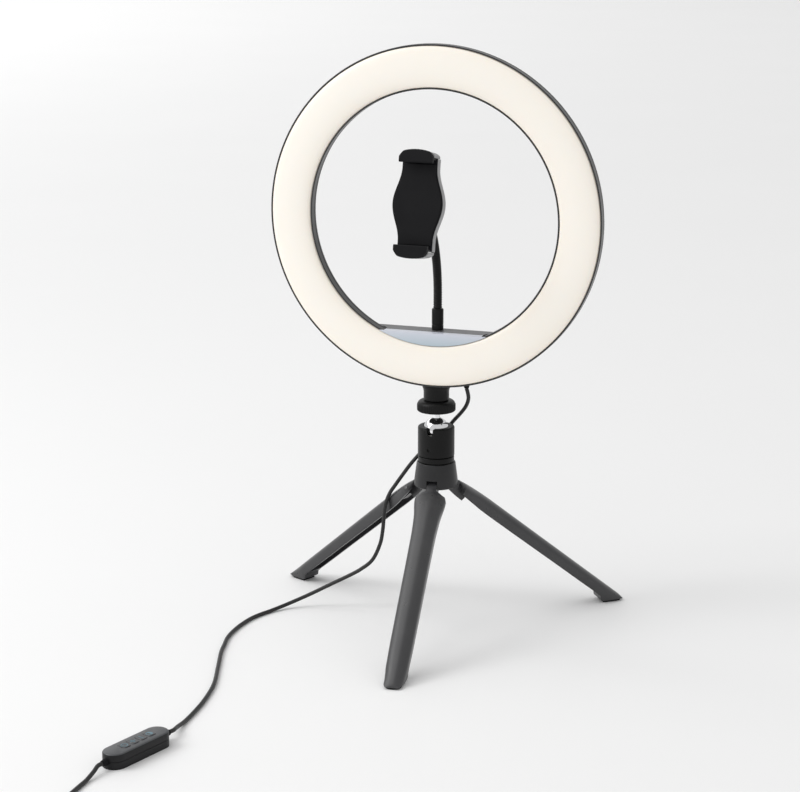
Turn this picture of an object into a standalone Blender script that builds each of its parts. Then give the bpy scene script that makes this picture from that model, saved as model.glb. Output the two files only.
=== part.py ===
"""Desk ring light: a 260 mm ring lamp on a folding mini tripod with a ball head,
a spring phone holder on a gooseneck, and a USB lead with an inline remote.

Metres, +Z up, floor at z = 0, the lamp faces -Y.
Everything hangs from the empty "tripod_axis", which stands on the tripod's own axis.
"""
import math

import bmesh
import bpy
from mathutils import Matrix, Vector

# ---------------------------------------------------------------- driving dimensions
GAP = 0.0003                       # clearance between pieces that touch

# the tripod's axis, seen from the middle of the object's footprint
AXIS_X, AXIS_Y = 0.0076, 0.0303

# ring lamp
RING_HEIGHT = 0.320                # centre of the ring above the floor
RING_OUTER = 0.130
RING_INNER = 0.0967
RING_MIDDLE = (RING_OUTER + RING_INNER) / 2
RING_FRONT = -0.0110               # front rim, along Y
RING_BACK = 0.0092                 # highest point of the rounded back
FRAME_BACK = -0.0050               # where the front frame meets the back cover
RIM = 0.0010
WEB_FRONT = -0.0062
DIFFUSER_CREST = -0.0140
RING_SEGMENTS = 60
SCREWS = (("top", 90), ("left", 210), ("right", 330))
LED_COUNT = 24

# shelf that closes the bottom of the opening and carries the gooseneck
SHELF_TOP = RING_HEIGHT - 0.0878
SHELF_CLEAR = 0.0005               # between the shelf and the ring's inner wall
SHELF_FRONT, SHELF_BACK = -0.0058, 0.0082
PANEL_FRONT = -0.0119
SHELF_WALL = 0.0015
GLAND_X, GLAND_Y, GLAND_BOTTOM = 0.0237, 0.0016, 0.1883

# tripod
LEG_AZIMUTH = 5.9                  # front leg, degrees from -Y towards +X
LEG_NAMES = ("front", "right", "left")
LEG_SLOPE = math.radians(38.8)     # below the horizontal, when open
HINGE_RADIUS, HINGE_HEIGHT = 0.0100, 0.1115
KNUCKLE = 0.0046                   # radius of the leg's round end
TAB_HALF = 0.0038
SLOT_HALF = 0.00415
PIN_RADIUS, PIN_LENGTH = 0.0010, 0.0150
CROWN_BOTTOM, CROWN_TOP = 0.1095, 0.1286
CROWN_RADIUS, CROWN_NECK = 0.01695, 0.0150
SHELL_WALL = 0.0017
FOOT_CLEAR = 0.0015                # leg above the floor, over the rubber pad

# ball head
BALL_Z, BALL_RADIUS = 0.1539, 0.0100
SLEEVE_BOTTOM, SLEEVE_TOP, SLEEVE_RADIUS, SLEEVE_BORE = 0.1340, 0.1570, 0.0142, 0.0113
HEAD_AZIMUTH = -6.7                # notch and grub screw, degrees from -Y towards +X
NOTCH_HALF, NOTCH_Z, GRUB_Z = 0.0032, 0.1542, 0.1405
STEM_RADIUS, STUD_RADIUS, STUD_TOP = 0.0029, 0.0031, 0.1860
COLLAR_BOTTOM, COLLAR_TOP, COLLAR_RADIUS = 0.1689, 0.1776, 0.0149
NECK_BOTTOM, NECK_TOP, NECK_RADIUS, NECK_FLARE = 0.1780, 0.1935, 0.00985, 0.01075

# gooseneck and phone holder
GOOSE_Y = 0.0025                   # foot of the gooseneck, along Y
FERRULE_TOP, BEND_START = 0.2487, 0.2603
BEND_RADIUS, BEND_ANGLE = 0.0905, math.radians(43.0)
GOOSE_RADIUS = 0.0034
JOINT_BALL = Vector((0.0, -0.0322, 0.3332))
JOINT_BALL_RADIUS = 0.0045
HOLDER_LEAN = math.radians(12.0)   # top of the holder leans back
HOLDER_HALF, BULGE_HALF, BULGE_SPAN = 0.0134, 0.0193, 0.0270
HOLDER_END = 0.0340
HOLDER_BACK, HOLDER_FACE, PAD_FACE, LIP_FACE = -0.0085, -0.0157, -0.0185, -0.0276

# lead, remote and plug
CORD_RADIUS = 0.0015
REMOTE_CENTRE = Vector((-0.1088, -0.3224, 0.0))
REMOTE_TURN = math.radians(72.5)   # long side, from +X
REMOTE_LENGTH, REMOTE_WIDTH, REMOTE_HEIGHT = 0.0580, 0.0170, 0.0108
REMOTE_SPLIT, REMOTE_WALL = 0.0052, 0.0013
BUTTON_PITCH = 0.0082
LEAD_HEIGHT = 0.0054               # where the lead enters the remote
COIL_CENTRE = Vector((-0.0992, -0.4310, 0.0))
COIL_INNER, COIL_OUTER, COIL_HEIGHT = 0.0108, 0.0231, 0.0092
PLUG_PLACE = Vector((-0.0600, -0.4385, 0.0))
PLUG_TURN = math.radians(-14.0)
PLUG_Z = 0.0043

# ---------------------------------------------------------------- colours
COLOURS = {
    "black_plastic": ((0.030, 0.030, 0.032), 0.48, 0.0),
    "leg_plastic": ((0.045, 0.045, 0.048), 0.42, 0.0),
    "holder_plastic": ((0.120, 0.120, 0.125), 0.45, 0.0),
    "rubber": ((0.012, 0.012, 0.013), 0.75, 0.0),
    "diffuser": ((0.900, 0.860, 0.800), 0.35, 0.0),
    "panel": ((0.620, 0.660, 0.700), 0.30, 0.0),
    "board": ((0.750, 0.760, 0.740), 0.50, 0.0),
    "chrome": ((0.850, 0.850, 0.860), 0.06, 1.0),
    "steel": ((0.520, 0.520, 0.530), 0.30, 1.0),
    "brass": ((0.700, 0.520, 0.200), 0.30, 1.0),
    "lead": ((0.020, 0.020, 0.021), 0.55, 0.0),
    "nylon": ((0.650, 0.640, 0.600), 0.55, 0.0),
    "button": ((0.140, 0.210, 0.240), 0.40, 0.0),
}


# ---------------------------------------------------------------- scene helpers
def clear_scene():
    for thing in list(bpy.data.objects):
        bpy.data.objects.remove(thing, do_unlink=True)


def material(name):
    found = bpy.data.materials.get(name)
    if found:
        return found
    colour, roughness, metallic = COLOURS[name]
    made = bpy.data.materials.new(name)
    made.use_nodes = True
    shader = made.node_tree.nodes["Principled BSDF"]
    shader.inputs["Base Color"].default_value = (*colour, 1.0)
    shader.inputs["Roughness"].default_value = roughness
    shader.inputs["Metallic"].default_value = metallic
    made.diffuse_color = (*colour, 1.0)
    return made


def empty(name, location, rotation=(0, 0, 0), parent=None):
    made = bpy.data.objects.new(name, None)
    made.empty_display_size = 0.01
    made.location = location
    made.rotation_euler = rotation
    made.parent = parent
    bpy.context.scene.collection.objects.link(made)
    return made


def node(name, mesh, finish, parent, location=(0, 0, 0), rotation=(0, 0, 0)):
    """One sub-part: its own object, with its own material."""
    made = bpy.data.objects.new(name, mesh)
    if not mesh.materials:
        mesh.materials.append(material(finish))
    made.location = location
    made.rotation_euler = rotation
    made.parent = parent
    bpy.context.scene.collection.objects.link(made)
    return made


def cutter(name, mesh, parent, location=(0, 0, 0), rotation=(0, 0, 0)):
    made = node(name, mesh, "steel", parent, location, rotation)
    made.hide_render = True
    made.display_type = "WIRE"
    return made


def combine(target, tool, operation):
    change = target.modifiers.new(tool.name, "BOOLEAN")
    change.operation = operation
    change.solver = "EXACT"
    change.object = tool


def bake(target, helpers):
    """The mesh that the modifiers make; the helper objects go."""
    bpy.context.view_layer.update()
    graph = bpy.context.evaluated_depsgraph_get()
    mesh = bpy.data.meshes.new_from_object(target.evaluated_get(graph))
    for thing in [target, *helpers]:
        bpy.data.objects.remove(thing, do_unlink=True)
    smooth(mesh)
    return mesh


def smooth(mesh, angle=32):
    mesh.shade_smooth()
    mesh.set_sharp_from_angle(angle=math.radians(angle))


# ---------------------------------------------------------------- mesh builders
def closed_mesh(name, points, faces):
    mesh = bpy.data.meshes.new(name)
    mesh.from_pydata([tuple(p) for p in points], [], faces)
    work = bmesh.new()
    work.from_mesh(mesh)
    bmesh.ops.recalc_face_normals(work, faces=work.faces)
    work.to_mesh(mesh)
    work.free()
    smooth(mesh)
    return mesh


def loft(name, rings, loop=False):
    """Skin equal rings of points, capped at both ends unless they loop."""
    count = len(rings[0])
    points = [p for ring in rings for p in ring]
    faces = []
    spans = len(rings) if loop else len(rings) - 1
    for i in range(spans):
        a, b = i * count, ((i + 1) % len(rings)) * count
        for j in range(count):
            k = (j + 1) % count
            faces.append((a + j, a + k, b + k, b + j))
    if not loop:
        faces.append(tuple(range(count)))
        last = (len(rings) - 1) * count
        faces.append(tuple(last + j for j in range(count)))
    return closed_mesh(name, points, faces)


def turned(name, profile, segments=32, axis="Z", modulate=None):
    """Turn a profile of (radius, height) about an axis.

    A profile whose ends have radius 0 closes on the axis; any other is a closed loop.
    """
    on_axis = profile[0][0] == 0 and profile[-1][0] == 0
    points, faces, rows = [], [], []
    for radius, height in profile:
        if radius == 0:
            rows.append([len(points)])
            points.append((0.0, 0.0, height))
            continue
        row = []
        for k in range(segments):
            angle = 2 * math.pi * k / segments
            r = modulate(radius, height, k) if modulate else radius
            row.append(len(points))
            points.append((r * math.cos(angle), r * math.sin(angle), height))
        rows.append(row)
    steps = len(rows) - 1 if on_axis else len(rows)
    for i in range(steps):
        low, high = rows[i], rows[(i + 1) % len(rows)]
        for k in range(segments):
            m = (k + 1) % segments
            if len(low) == 1:
                faces.append((low[0], high[m], high[k]))
            elif len(high) == 1:
                faces.append((low[k], low[m], high[0]))
            else:
                faces.append((low[k], low[m], high[m], high[k]))
    if axis == "Y":
        points = [(x, z, -y) for x, y, z in points]
    if axis == "X":
        points = [(z, x, y) for x, y, z in points]
    return closed_mesh(name, points, faces)


def prism(name, outline, low, high, plane="XY"):
    """Extrude an outline between two levels of the third axis."""
    order = {
        "XY": lambda u, v, w: (u, v, w),
        "XZ": lambda u, v, w: (u, w, v),
        "YZ": lambda u, v, w: (w, u, v),
    }[plane]
    return loft(name, [[order(u, v, w) for u, v in outline] for w in (low, high)])


def block(name, low, high):
    (x0, y0, z0), (x1, y1, z1) = low, high
    return prism(name, [(x0, y0), (x1, y0), (x1, y1), (x0, y1)], z0, z1)


def joined(name, meshes):
    """Several separate bodies in one mesh, for a cutter or a union tool."""
    work = bmesh.new()
    for mesh in meshes:
        work.from_mesh(mesh)
    made = bpy.data.meshes.new(name)
    work.to_mesh(made)
    work.free()
    return made


def moved(mesh, matrix):
    mesh.transform(matrix)
    return mesh


def arc(centre, radius, start, end, steps):
    """Points on an arc, angles in degrees."""
    return [
        (
            centre[0] + radius * math.cos(math.radians(start + (end - start) * i / steps)),
            centre[1] + radius * math.sin(math.radians(start + (end - start) * i / steps)),
        )
        for i in range(steps + 1)
    ]


def stadium(length, width, steps=6):
    radius, run = width / 2, (length - width) / 2
    return arc((run, 0), radius, -90, 90, steps) + arc((-run, 0), radius, 90, 270, steps)


def rounded(length, width, radius, steps=3):
    x, y = length / 2 - radius, width / 2 - radius
    return [
        p
        for cx, cy, start in ((x, -y, -90), (x, y, 0), (-x, y, 90), (-x, -y, 180))
        for p in arc((cx, cy), radius, start, start + 90, steps)
    ]


def along(azimuth):
    """Outward direction at an azimuth in degrees from -Y towards +X."""
    turn = math.radians(azimuth)
    return Vector((math.sin(turn), -math.cos(turn), 0.0))


def smooth_route(points, spacing):
    """A smooth curve through the points (Catmull-Rom), one point per spacing."""
    knots = [Vector(p) for p in points]
    knots = [2 * knots[0] - knots[1], *knots, 2 * knots[-1] - knots[-2]]
    fine = []
    for i in range(1, len(knots) - 2):
        a, b, c, d = knots[i - 1:i + 3]
        for k in range(24):
            t = k / 24
            fine.append(
                0.5 * (2 * b + (c - a) * t + (2 * a - 5 * b + 4 * c - d) * t * t
                       + (3 * b - a - 3 * c + d) * t ** 3)
            )
    fine.append(knots[-2])
    total = sum((q - p).length for p, q in zip(fine, fine[1:]))
    count = max(2, round(total / spacing))
    route, walked, target = [fine[0]], 0.0, total / count
    for p, q in zip(fine, fine[1:]):
        step = (q - p).length
        while walked + step >= target and len(route) < count:
            route.append(p.lerp(q, (target - walked) / step))
            target += total / count
        walked += step
    route.append(fine[-1])
    return route


def cord_tube(name, points, parent, spacing=0.008, radius=CORD_RADIUS):
    curve = bpy.data.curves.new(name, "CURVE")
    curve.dimensions = "3D"
    curve.bevel_depth = radius
    curve.bevel_resolution = 2
    curve.use_fill_caps = True
    route = smooth_route(points, spacing)
    spline = curve.splines.new("POLY")
    spline.points.add(len(route) - 1)
    for point, place in zip(spline.points, route):
        point.co = (place.x, place.y, max(place.z, radius + 0.0001), 1.0)
    made = bpy.data.objects.new(name, curve)
    curve.materials.append(material("lead"))
    made.parent = parent
    bpy.context.scene.collection.objects.link(made)
    return made


# ---------------------------------------------------------------- tripod
def crown(parent):
    profile = [
        (0.0023, CROWN_BOTTOM), (CROWN_RADIUS - 0.0006, CROWN_BOTTOM),
        (CROWN_RADIUS, CROWN_BOTTOM + 0.0006), (CROWN_RADIUS, CROWN_BOTTOM + 0.0041),
        (CROWN_NECK + 0.0001, CROWN_TOP - 0.0010), (CROWN_NECK - 0.0007, CROWN_TOP),
        (0.0023, CROWN_TOP),
    ]
    body = node("crown", turned("crown", profile, 40), "black_plastic", parent)
    slots, bores = [], []
    for k in range(len(LEG_NAMES)):
        turn = Matrix.Rotation(math.radians(LEG_AZIMUTH + 120 * k - 90), 4, "Z")
        slot = block("slot", (HINGE_RADIUS - 0.0051, -SLOT_HALF, 0.100),
                     (0.020, SLOT_HALF, HINGE_HEIGHT + KNUCKLE + 0.0004))
        slots.append(moved(slot, turn))
        half = PIN_LENGTH / 2 + GAP
        bore = turned("bore", [(0, -half), (PIN_RADIUS + 0.00025, -half),
                               (PIN_RADIUS + 0.00025, half), (0, half)], 12, "Y")
        place = Matrix.Translation((HINGE_RADIUS, 0, HINGE_HEIGHT))
        bores.append(moved(moved(bore, place), turn))
    combine(body, cutter("crown_slots", joined("crown_slots", slots), parent), "DIFFERENCE")
    combine(body, cutter("crown_pin_bores", joined("crown_pin_bores", bores), parent),
            "DIFFERENCE")


def leg_section(a, half, crest, edge, wall=None):
    """Cross-section of a leg at distance a from the hinge: an arched channel, or solid."""
    def arch(half_width, top, steps):
        side = max(edge + 0.0003, top - 0.0050)
        return [(-half_width, edge)] + [
            (-half_width * math.cos(math.pi * i / steps),
             side + (top - side) * math.sin(math.pi * i / steps))
            for i in range(steps + 1)
        ] + [(half_width, edge)]

    outline = arch(half, crest, 6)
    if wall:
        outline += reversed(arch(half - wall, crest - wall, 4))
    return [(a, y, z) for y, z in outline]


def leg_mesh():
    """A leg along +X from its hinge, its upper face towards +Z."""
    shell_stations = (
        (0.0074, 0.0037, 0.0056, 0.0032), (0.0096, 0.0078, 0.0058, 0.0012),
        (0.0118, 0.0112, 0.0061, -0.0012), (0.0145, 0.0121, 0.0064, -0.0022),
        (0.0190, 0.0118, 0.0068, -0.0024), (0.0235, 0.0111, 0.0071, -0.0027),
        (0.0285, 0.0102, 0.0074, -0.0031), (0.0360, 0.0095, 0.0076, -0.0034),
        (0.0480, 0.0090, 0.0076, -0.0034),
        (0.0750, 0.0088, 0.0076, -0.0032), (0.1100, 0.0087, 0.0076, -0.0028),
        (0.1450, 0.0086, 0.0076, -0.0025), (0.1600, 0.0083, 0.0076, -0.0023),
    )
    shell = loft("leg_shell", [leg_section(*s, SHELL_WALL) for s in shell_stations])

    def over_floor(a):
        drop = HINGE_HEIGHT - FOOT_CLEAR
        return (a * math.sin(LEG_SLOPE) - drop) / math.cos(LEG_SLOPE)

    foot_stations = (
        (0.1570, 0.00840, 0.0076, -0.0023), (0.1650, 0.0082, 0.0076, -0.0025),
        (0.1674, 0.0080, 0.0076, -0.0048), (0.1700, 0.0077, 0.0076, over_floor(0.1700)),
        (0.1760, 0.0073, 0.0076, over_floor(0.1760)),
        (0.1815, 0.0066, 0.0075, over_floor(0.1815)),
        (0.1838, 0.0054, 0.0072, over_floor(0.1838) - 0.0004),
    )
    foot = loft("leg_foot", [leg_section(*s) for s in foot_stations])
    outline = arc((0, 0), KNUCKLE, 90, 270, 8) + [
        (0.0110, -0.0059), (0.0176, -0.0062), (0.0183, -0.0015), (0.0300, -0.0015),
        (0.0300, 0.0052), (0.0200, 0.0059), (0.0100, 0.0054),
    ]
    tab = prism("leg_tab", outline, -TAB_HALF, TAB_HALF, "XZ")
    bore = turned("leg_bore", [(0, -0.006), (PIN_RADIUS + 0.00025, -0.006),
                               (PIN_RADIUS + 0.00025, 0.006), (0, 0.006)], 12, "Y")
    body = node("leg_pattern", shell, "leg_plastic", None)
    helpers = [cutter(m.name, m, None) for m in (foot, tab, bore)]
    combine(body, helpers[0], "UNION")
    combine(body, helpers[1], "UNION")
    combine(body, helpers[2], "DIFFERENCE")
    return bake(body, helpers)


def legs(parent):
    mesh = leg_mesh()
    mesh.materials.clear()
    mesh.materials.append(material("leg_plastic"))
    pad_outline = [(-0.0078, -0.0064), (0.0030, -0.0060)] + arc((0.0030, 0), 0.0060, -60, 60, 4) + [
        (0.0030, 0.0060), (-0.0078, 0.0064)]
    pad = prism("foot_pad", pad_outline, 0.0, FOOT_CLEAR - GAP)
    for k, side in enumerate(LEG_NAMES):
        azimuth = LEG_AZIMUTH + 120 * k
        out = along(azimuth)
        turn = math.radians(azimuth - 90)
        hinge = out * HINGE_RADIUS + Vector((0, 0, HINGE_HEIGHT))
        pivot = empty(f"leg_{side}_hinge", hinge, (0, LEG_SLOPE, turn), parent)
        node(f"leg_{side}", mesh, "leg_plastic", pivot)
        reach = Vector((0.1480 - HINGE_RADIUS, 0, -HINGE_HEIGHT))
        node(f"foot_pad_{side}", pad, "rubber", pivot,
             Matrix.Rotation(-LEG_SLOPE, 3, "Y") @ reach, (0, -LEG_SLOPE, 0))
        pin = turned("hinge_pin", [(0, -PIN_LENGTH / 2), (PIN_RADIUS, -PIN_LENGTH / 2),
                                   (PIN_RADIUS, PIN_LENGTH / 2), (0, PIN_LENGTH / 2)], 12, "Y")
        node(f"hinge_pin_{side}", pin, "steel", parent, hinge, (0, 0, turn))


# ---------------------------------------------------------------- ball head
def ball_arc(radius, low, high, steps):
    """Profile points on a sphere about the ball's centre, between two heights."""
    first, last = (math.asin(max(-1.0, min(1.0, (z - BALL_Z) / radius))) for z in (low, high))
    return [
        (radius * math.cos(first + (last - first) * i / steps),
         BALL_Z + radius * math.sin(first + (last - first) * i / steps))
        for i in range(steps + 1)
    ]


def ball_head(parent):
    screw = [(0, 0.1066), (0.0030, 0.1066), (0.0032, 0.1070), (0.0032, 0.1092),
             (0.0020, 0.1092), (0.0020, 0.1370), (0, 0.1370)]
    head = node("centre_screw", turned("centre_screw", screw, 16), "steel", parent)
    socket = turned("hex_socket", [(0, 0.1060), (0.0015, 0.1060), (0.0015, 0.1082), (0, 0.1082)], 6)
    combine(head, cutter("screw_socket", socket, parent), "DIFFERENCE")

    base = [(0, 0.1380), (0.0023, 0.1380), (0.0023, 0.1290), (0.0136, 0.1290),
            (0.0140, 0.1294), (0.0140, 0.1331), (0.0136, 0.1335), (0.0109, 0.1335),
            (0.0109, 0.1420), (0, 0.1420)]
    node("head_base", turned("head_base", base, 32), "black_plastic", parent)

    seat_low, seat_top = 0.1423, 0.1503
    cup = ball_arc(BALL_RADIUS + GAP, seat_top, BALL_Z - BALL_RADIUS - GAP, 5)
    cup[-1] = (0, cup[-1][1])
    seat = [(0, seat_low), (0.0108, seat_low), (0.0108, seat_top), *cup]
    node("ball_seat", turned("ball_seat", seat, 24), "nylon", parent)

    lip = ball_arc(BALL_RADIUS + GAP + 0.00005, BALL_Z, SLEEVE_TOP, 3)
    shape = [(SLEEVE_BORE, SLEEVE_BOTTOM), (SLEEVE_BORE, 0.1516), (0.0106, 0.1526), *lip,
             *arc((SLEEVE_RADIUS - 0.0014, SLEEVE_TOP - 0.0014), 0.0014, 90, 0, 3),
             (SLEEVE_RADIUS, SLEEVE_BOTTOM + 0.0003), (SLEEVE_RADIUS - 0.0003, SLEEVE_BOTTOM)]
    sleeve = node("lock_sleeve", turned("lock_sleeve", shape, 40), "black_plastic", parent)
    outline = arc((0, NOTCH_Z), NOTCH_HALF, 180, 360, 8) + [(NOTCH_HALF, 0.162), (-NOTCH_HALF, 0.162)]
    turn = (0, 0, math.radians(HEAD_AZIMUTH))
    notch = cutter("sleeve_notch", prism("sleeve_notch", outline, -0.020, -0.0070, "XZ"), parent,
                   rotation=turn)
    combine(sleeve, notch, "DIFFERENCE")
    bore = turned("grub_bore", [(0, -0.020), (0.0015, -0.020), (0.0015, -0.0090), (0, -0.0090)], 12, "Y")
    combine(sleeve, cutter("grub_bore", bore, parent, (0, 0, GRUB_Z), turn), "DIFFERENCE")
    grub = turned("grub_screw", [(0, -0.0134), (0.0012, -0.0134), (0.0012, -0.0115), (0, -0.0115)],
                  12, "Y")
    node("grub_screw", grub, "steel", parent, (0, 0, GRUB_Z), turn)

    stem_foot = BALL_Z + math.sqrt(BALL_RADIUS ** 2 - STEM_RADIUS ** 2)
    ball = ball_arc(BALL_RADIUS, BALL_Z - BALL_RADIUS, stem_foot, 10)
    ball[0] = (0, ball[0][1])
    stud = [*ball, (STEM_RADIUS, 0.1680), (STUD_RADIUS, 0.1683), (STUD_RADIUS, STUD_TOP - 0.0006),
            (STUD_RADIUS - 0.0006, STUD_TOP), (0, STUD_TOP)]
    node("ball_stud", turned("ball_stud", stud, 24), "chrome", parent)

    def knurl(radius, height, k):
        return radius - 0.00035 * (k % 2) if radius > 0.0145 else radius

    shape = [(0.0034, COLLAR_BOTTOM), (0.0137, COLLAR_BOTTOM), (COLLAR_RADIUS, COLLAR_BOTTOM + 0.0009),
             (COLLAR_RADIUS, 0.1745), (0.0140, 0.1761), (0.0122, 0.1773), (0.0105, COLLAR_TOP),
             (0.0034, COLLAR_TOP)]
    node("lock_collar", turned("lock_collar", shape, 60, modulate=knurl), "black_plastic", parent)


# ---------------------------------------------------------------- ring lamp
def ring_point(angle, radius, y):
    """A point on the ring; the angle is in degrees from +X towards +Z."""
    turn = math.radians(angle)
    return Vector((radius * math.cos(turn), y, RING_HEIGHT + radius * math.sin(turn)))


def ring_half(y):
    """Half the ring's width at y, which narrows over its round back."""
    start = FRAME_BACK + GAP
    depth = min(1.0, max(0.0, (y - start) / (RING_BACK - start)))
    return (RING_OUTER - RING_INNER) / 2 * math.sqrt(1 - depth * depth)


def under_ring(x, y):
    """Height just under the ring's outer wall, up to the rim of the neck's saddle."""
    reach = RING_MIDDLE + ring_half(y) + GAP
    return min(NECK_TOP, RING_HEIGHT - math.sqrt(reach * reach - x * x))


def neck(parent):
    rows = ((0.0052, NECK_BOTTOM), (NECK_RADIUS, NECK_BOTTOM), (NECK_RADIUS, 0.1845),
            (0.0102, 0.1865), (NECK_FLARE, 0.1878), (NECK_FLARE, None), (0.0070, None), (0.0035, None),
            (0, None))
    inside = ((0, 0.1876), (0.0052, 0.1876))
    shape = [(r, 0.1900 if z is None else z) for r, z in rows]
    mesh = turned("neck", [inside[0], inside[1], *shape], 28)
    work = bmesh.new()
    work.from_mesh(mesh)
    for point in work.verts:
        if point.co.z > 0.1899:
            point.co.z = under_ring(point.co.x, point.co.y)
    work.to_mesh(mesh)
    work.free()
    node("neck", mesh, "black_plastic", parent)
    insert = [(0.0034, 0.1783), (0.0049, 0.1783), (0.0049, 0.1873), (0.0034, 0.1873)]
    node("neck_insert", turned("neck_insert", insert, 20), "brass", parent)


def front_frame(parent):
    shape = [
        (RING_OUTER, RING_FRONT), (RING_OUTER - RIM, RING_FRONT), (RING_OUTER - RIM, WEB_FRONT),
        (RING_INNER + RIM, WEB_FRONT), (RING_INNER + RIM, RING_FRONT), (RING_INNER, RING_FRONT),
        (RING_INNER, FRAME_BACK), (RING_OUTER, FRAME_BACK),
    ]
    centre = (0, 0, RING_HEIGHT)
    body = node("front_frame", turned("front_frame", shape, RING_SEGMENTS, "Y"), "black_plastic",
                parent, centre)
    bosses, bores = [], []
    for _, angle in SCREWS:
        place = Matrix.Translation(ring_point(angle, RING_MIDDLE, 0) - Vector(centre))
        boss = turned("boss", [(0, -0.0055), (0.0033, -0.0055), (0.0033, 0.0067), (0, 0.0067)], 16, "Y")
        bore = turned("bore", [(0, -0.0020), (0.0015, -0.0020), (0.0015, 0.0090), (0, 0.0090)], 12, "Y")
        bosses.append(moved(boss, place))
        bores.append(moved(bore, place))
    combine(body, cutter("frame_bosses", joined("frame_bosses", bosses), parent, centre), "UNION")
    combine(body, cutter("frame_bores", joined("frame_bores", bores), parent, centre), "DIFFERENCE")


def back_profile(inset, steps):
    """Half-round back of the ring, from its outer wall to its inner wall."""
    half, start = (RING_OUTER - RING_INNER) / 2 - inset, FRAME_BACK + GAP
    rise = RING_BACK - start - inset
    angles = [math.pi * i / steps for i in range(steps + 1)]
    return [(RING_MIDDLE + half * math.cos(a), start + rise * math.sin(a)) for a in angles]


def back_cover(parent):
    shape = [*back_profile(0.0, 8), *reversed(back_profile(0.0015, 8))]
    centre = (0, 0, RING_HEIGHT)
    body = node("back_cover", turned("back_cover", shape, RING_SEGMENTS, "Y"), "black_plastic",
                parent, centre)
    wells = []
    for _, angle in SCREWS:
        place = Matrix.Translation(ring_point(angle, RING_MIDDLE, 0) - Vector(centre))
        well = turned("well", [(0, 0.0040), (0.0017, 0.0040), (0.0017, 0.0084), (0.0031, 0.0084),
                               (0.0031, 0.0120), (0, 0.0120)], 16, "Y")
        wells.append(moved(well, place))
    x, y = GLAND_X, GLAND_Y
    hole = turned("gland_hole", [(0, 0.1850), (0.0026, 0.1850), (0.0026, 0.1990), (0, 0.1990)], 16)
    wells.append(moved(hole, Matrix.Translation((x, y, -RING_HEIGHT))))
    combine(body, cutter("cover_holes", joined("cover_holes", wells), parent, centre), "DIFFERENCE")
    for place, angle in SCREWS:
        screw = turned("cover_screw", [(0, -0.0015), (0.0012, -0.0015), (0.0012, 0.0087),
                                       (0.0028, 0.0087), (0.0028, 0.0094), (0.0020, 0.0101), (0, 0.0101)],
                       16, "Y")
        node(f"cover_screw_{place}", screw, "steel", parent, ring_point(angle, RING_MIDDLE, 0))


def diffuser(parent):
    low, high = RING_INNER + RIM + 0.0004, RING_OUTER - RIM - 0.0004
    half, middle = (high - low) / 2, (high + low) / 2
    skirt, shoulder, wall = -0.0080, -0.0104, 0.0012
    rise = DIFFUSER_CREST - shoulder

    def dome(inset, steps):
        width = half - inset
        return [
            (middle + width * math.cos(math.pi * i / steps),
             shoulder + inset + rise * math.sin(math.pi * i / steps) ** 0.75)
            for i in range(steps + 1)
        ]

    shape = [(high, skirt), *dome(0.0, 6), (low, skirt), (low + wall, skirt),
             *reversed(dome(wall, 4)), (high - wall, skirt)]
    node("diffuser", turned("diffuser", shape, RING_SEGMENTS, "Y"), "diffuser", parent,
         (0, 0, RING_HEIGHT))


def led_board(parent):
    """A ring-shaped board whose front face carries a row of LED bumps."""
    back, front, bump = WEB_FRONT - GAP, WEB_FRONT - GAP - 0.0010, 0.0008
    rows = (0.1002, RING_MIDDLE - 0.00175, RING_MIDDLE + 0.00175, 0.1265)
    led_turn = 0.0035 / RING_MIDDLE
    pitch = 2 * math.pi / LED_COUNT
    angles = [k * pitch + side * led_turn / 2 for k in range(LED_COUNT) for side in (-1, 1)]
    count = len(angles)
    points, faces = [], []

    def ring_row(radius, y):
        first = len(points)
        points.extend((radius * math.cos(a), y, radius * math.sin(a)) for a in angles)
        return first

    fronts = [ring_row(r, front) for r in rows]
    backs = [ring_row(rows[-1], back), ring_row(rows[0], back)]
    order = fronts + backs
    for i, low in enumerate(order):
        high = order[(i + 1) % len(order)]
        for k in range(count):
            m = (k + 1) % count
            corners = (low + k, low + m, high + m, high + k)
            if i != 1 or k % 2:
                faces.append(corners)
                continue
            top = len(points)
            for c in corners:
                x, y, z = points[c]
                points.append((x, y - bump, z))
            for j in range(4):
                n = (j + 1) % 4
                faces.append((corners[j], corners[n], top + n, top + j))
            faces.append((top, top + 1, top + 2, top + 3))
    node("led_board", closed_mesh("led_board", points, faces), "board", parent, (0, 0, RING_HEIGHT))


def segment(radius, top, half, steps):
    """Outline in XZ between a flat top and the ring's inner circle."""
    floor = []
    for i in range(steps + 1):
        x = half - 2 * half * i / steps
        floor.append((x, RING_HEIGHT - math.sqrt(radius * radius - x * x)))
    return [(-half, top), (half, top), *floor]


def shelf_mesh(name, rows, steps):
    """Fill the bottom of the ring's opening through rows of (y, radius)."""
    sections = []
    for y, radius in rows:
        half = math.sqrt(radius ** 2 - (RING_HEIGHT - SHELF_TOP) ** 2) - SHELF_CLEAR
        sections.append([(x, y, z) for x, z in segment(radius, SHELF_TOP, half, steps)])
    return loft(name, sections)


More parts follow.
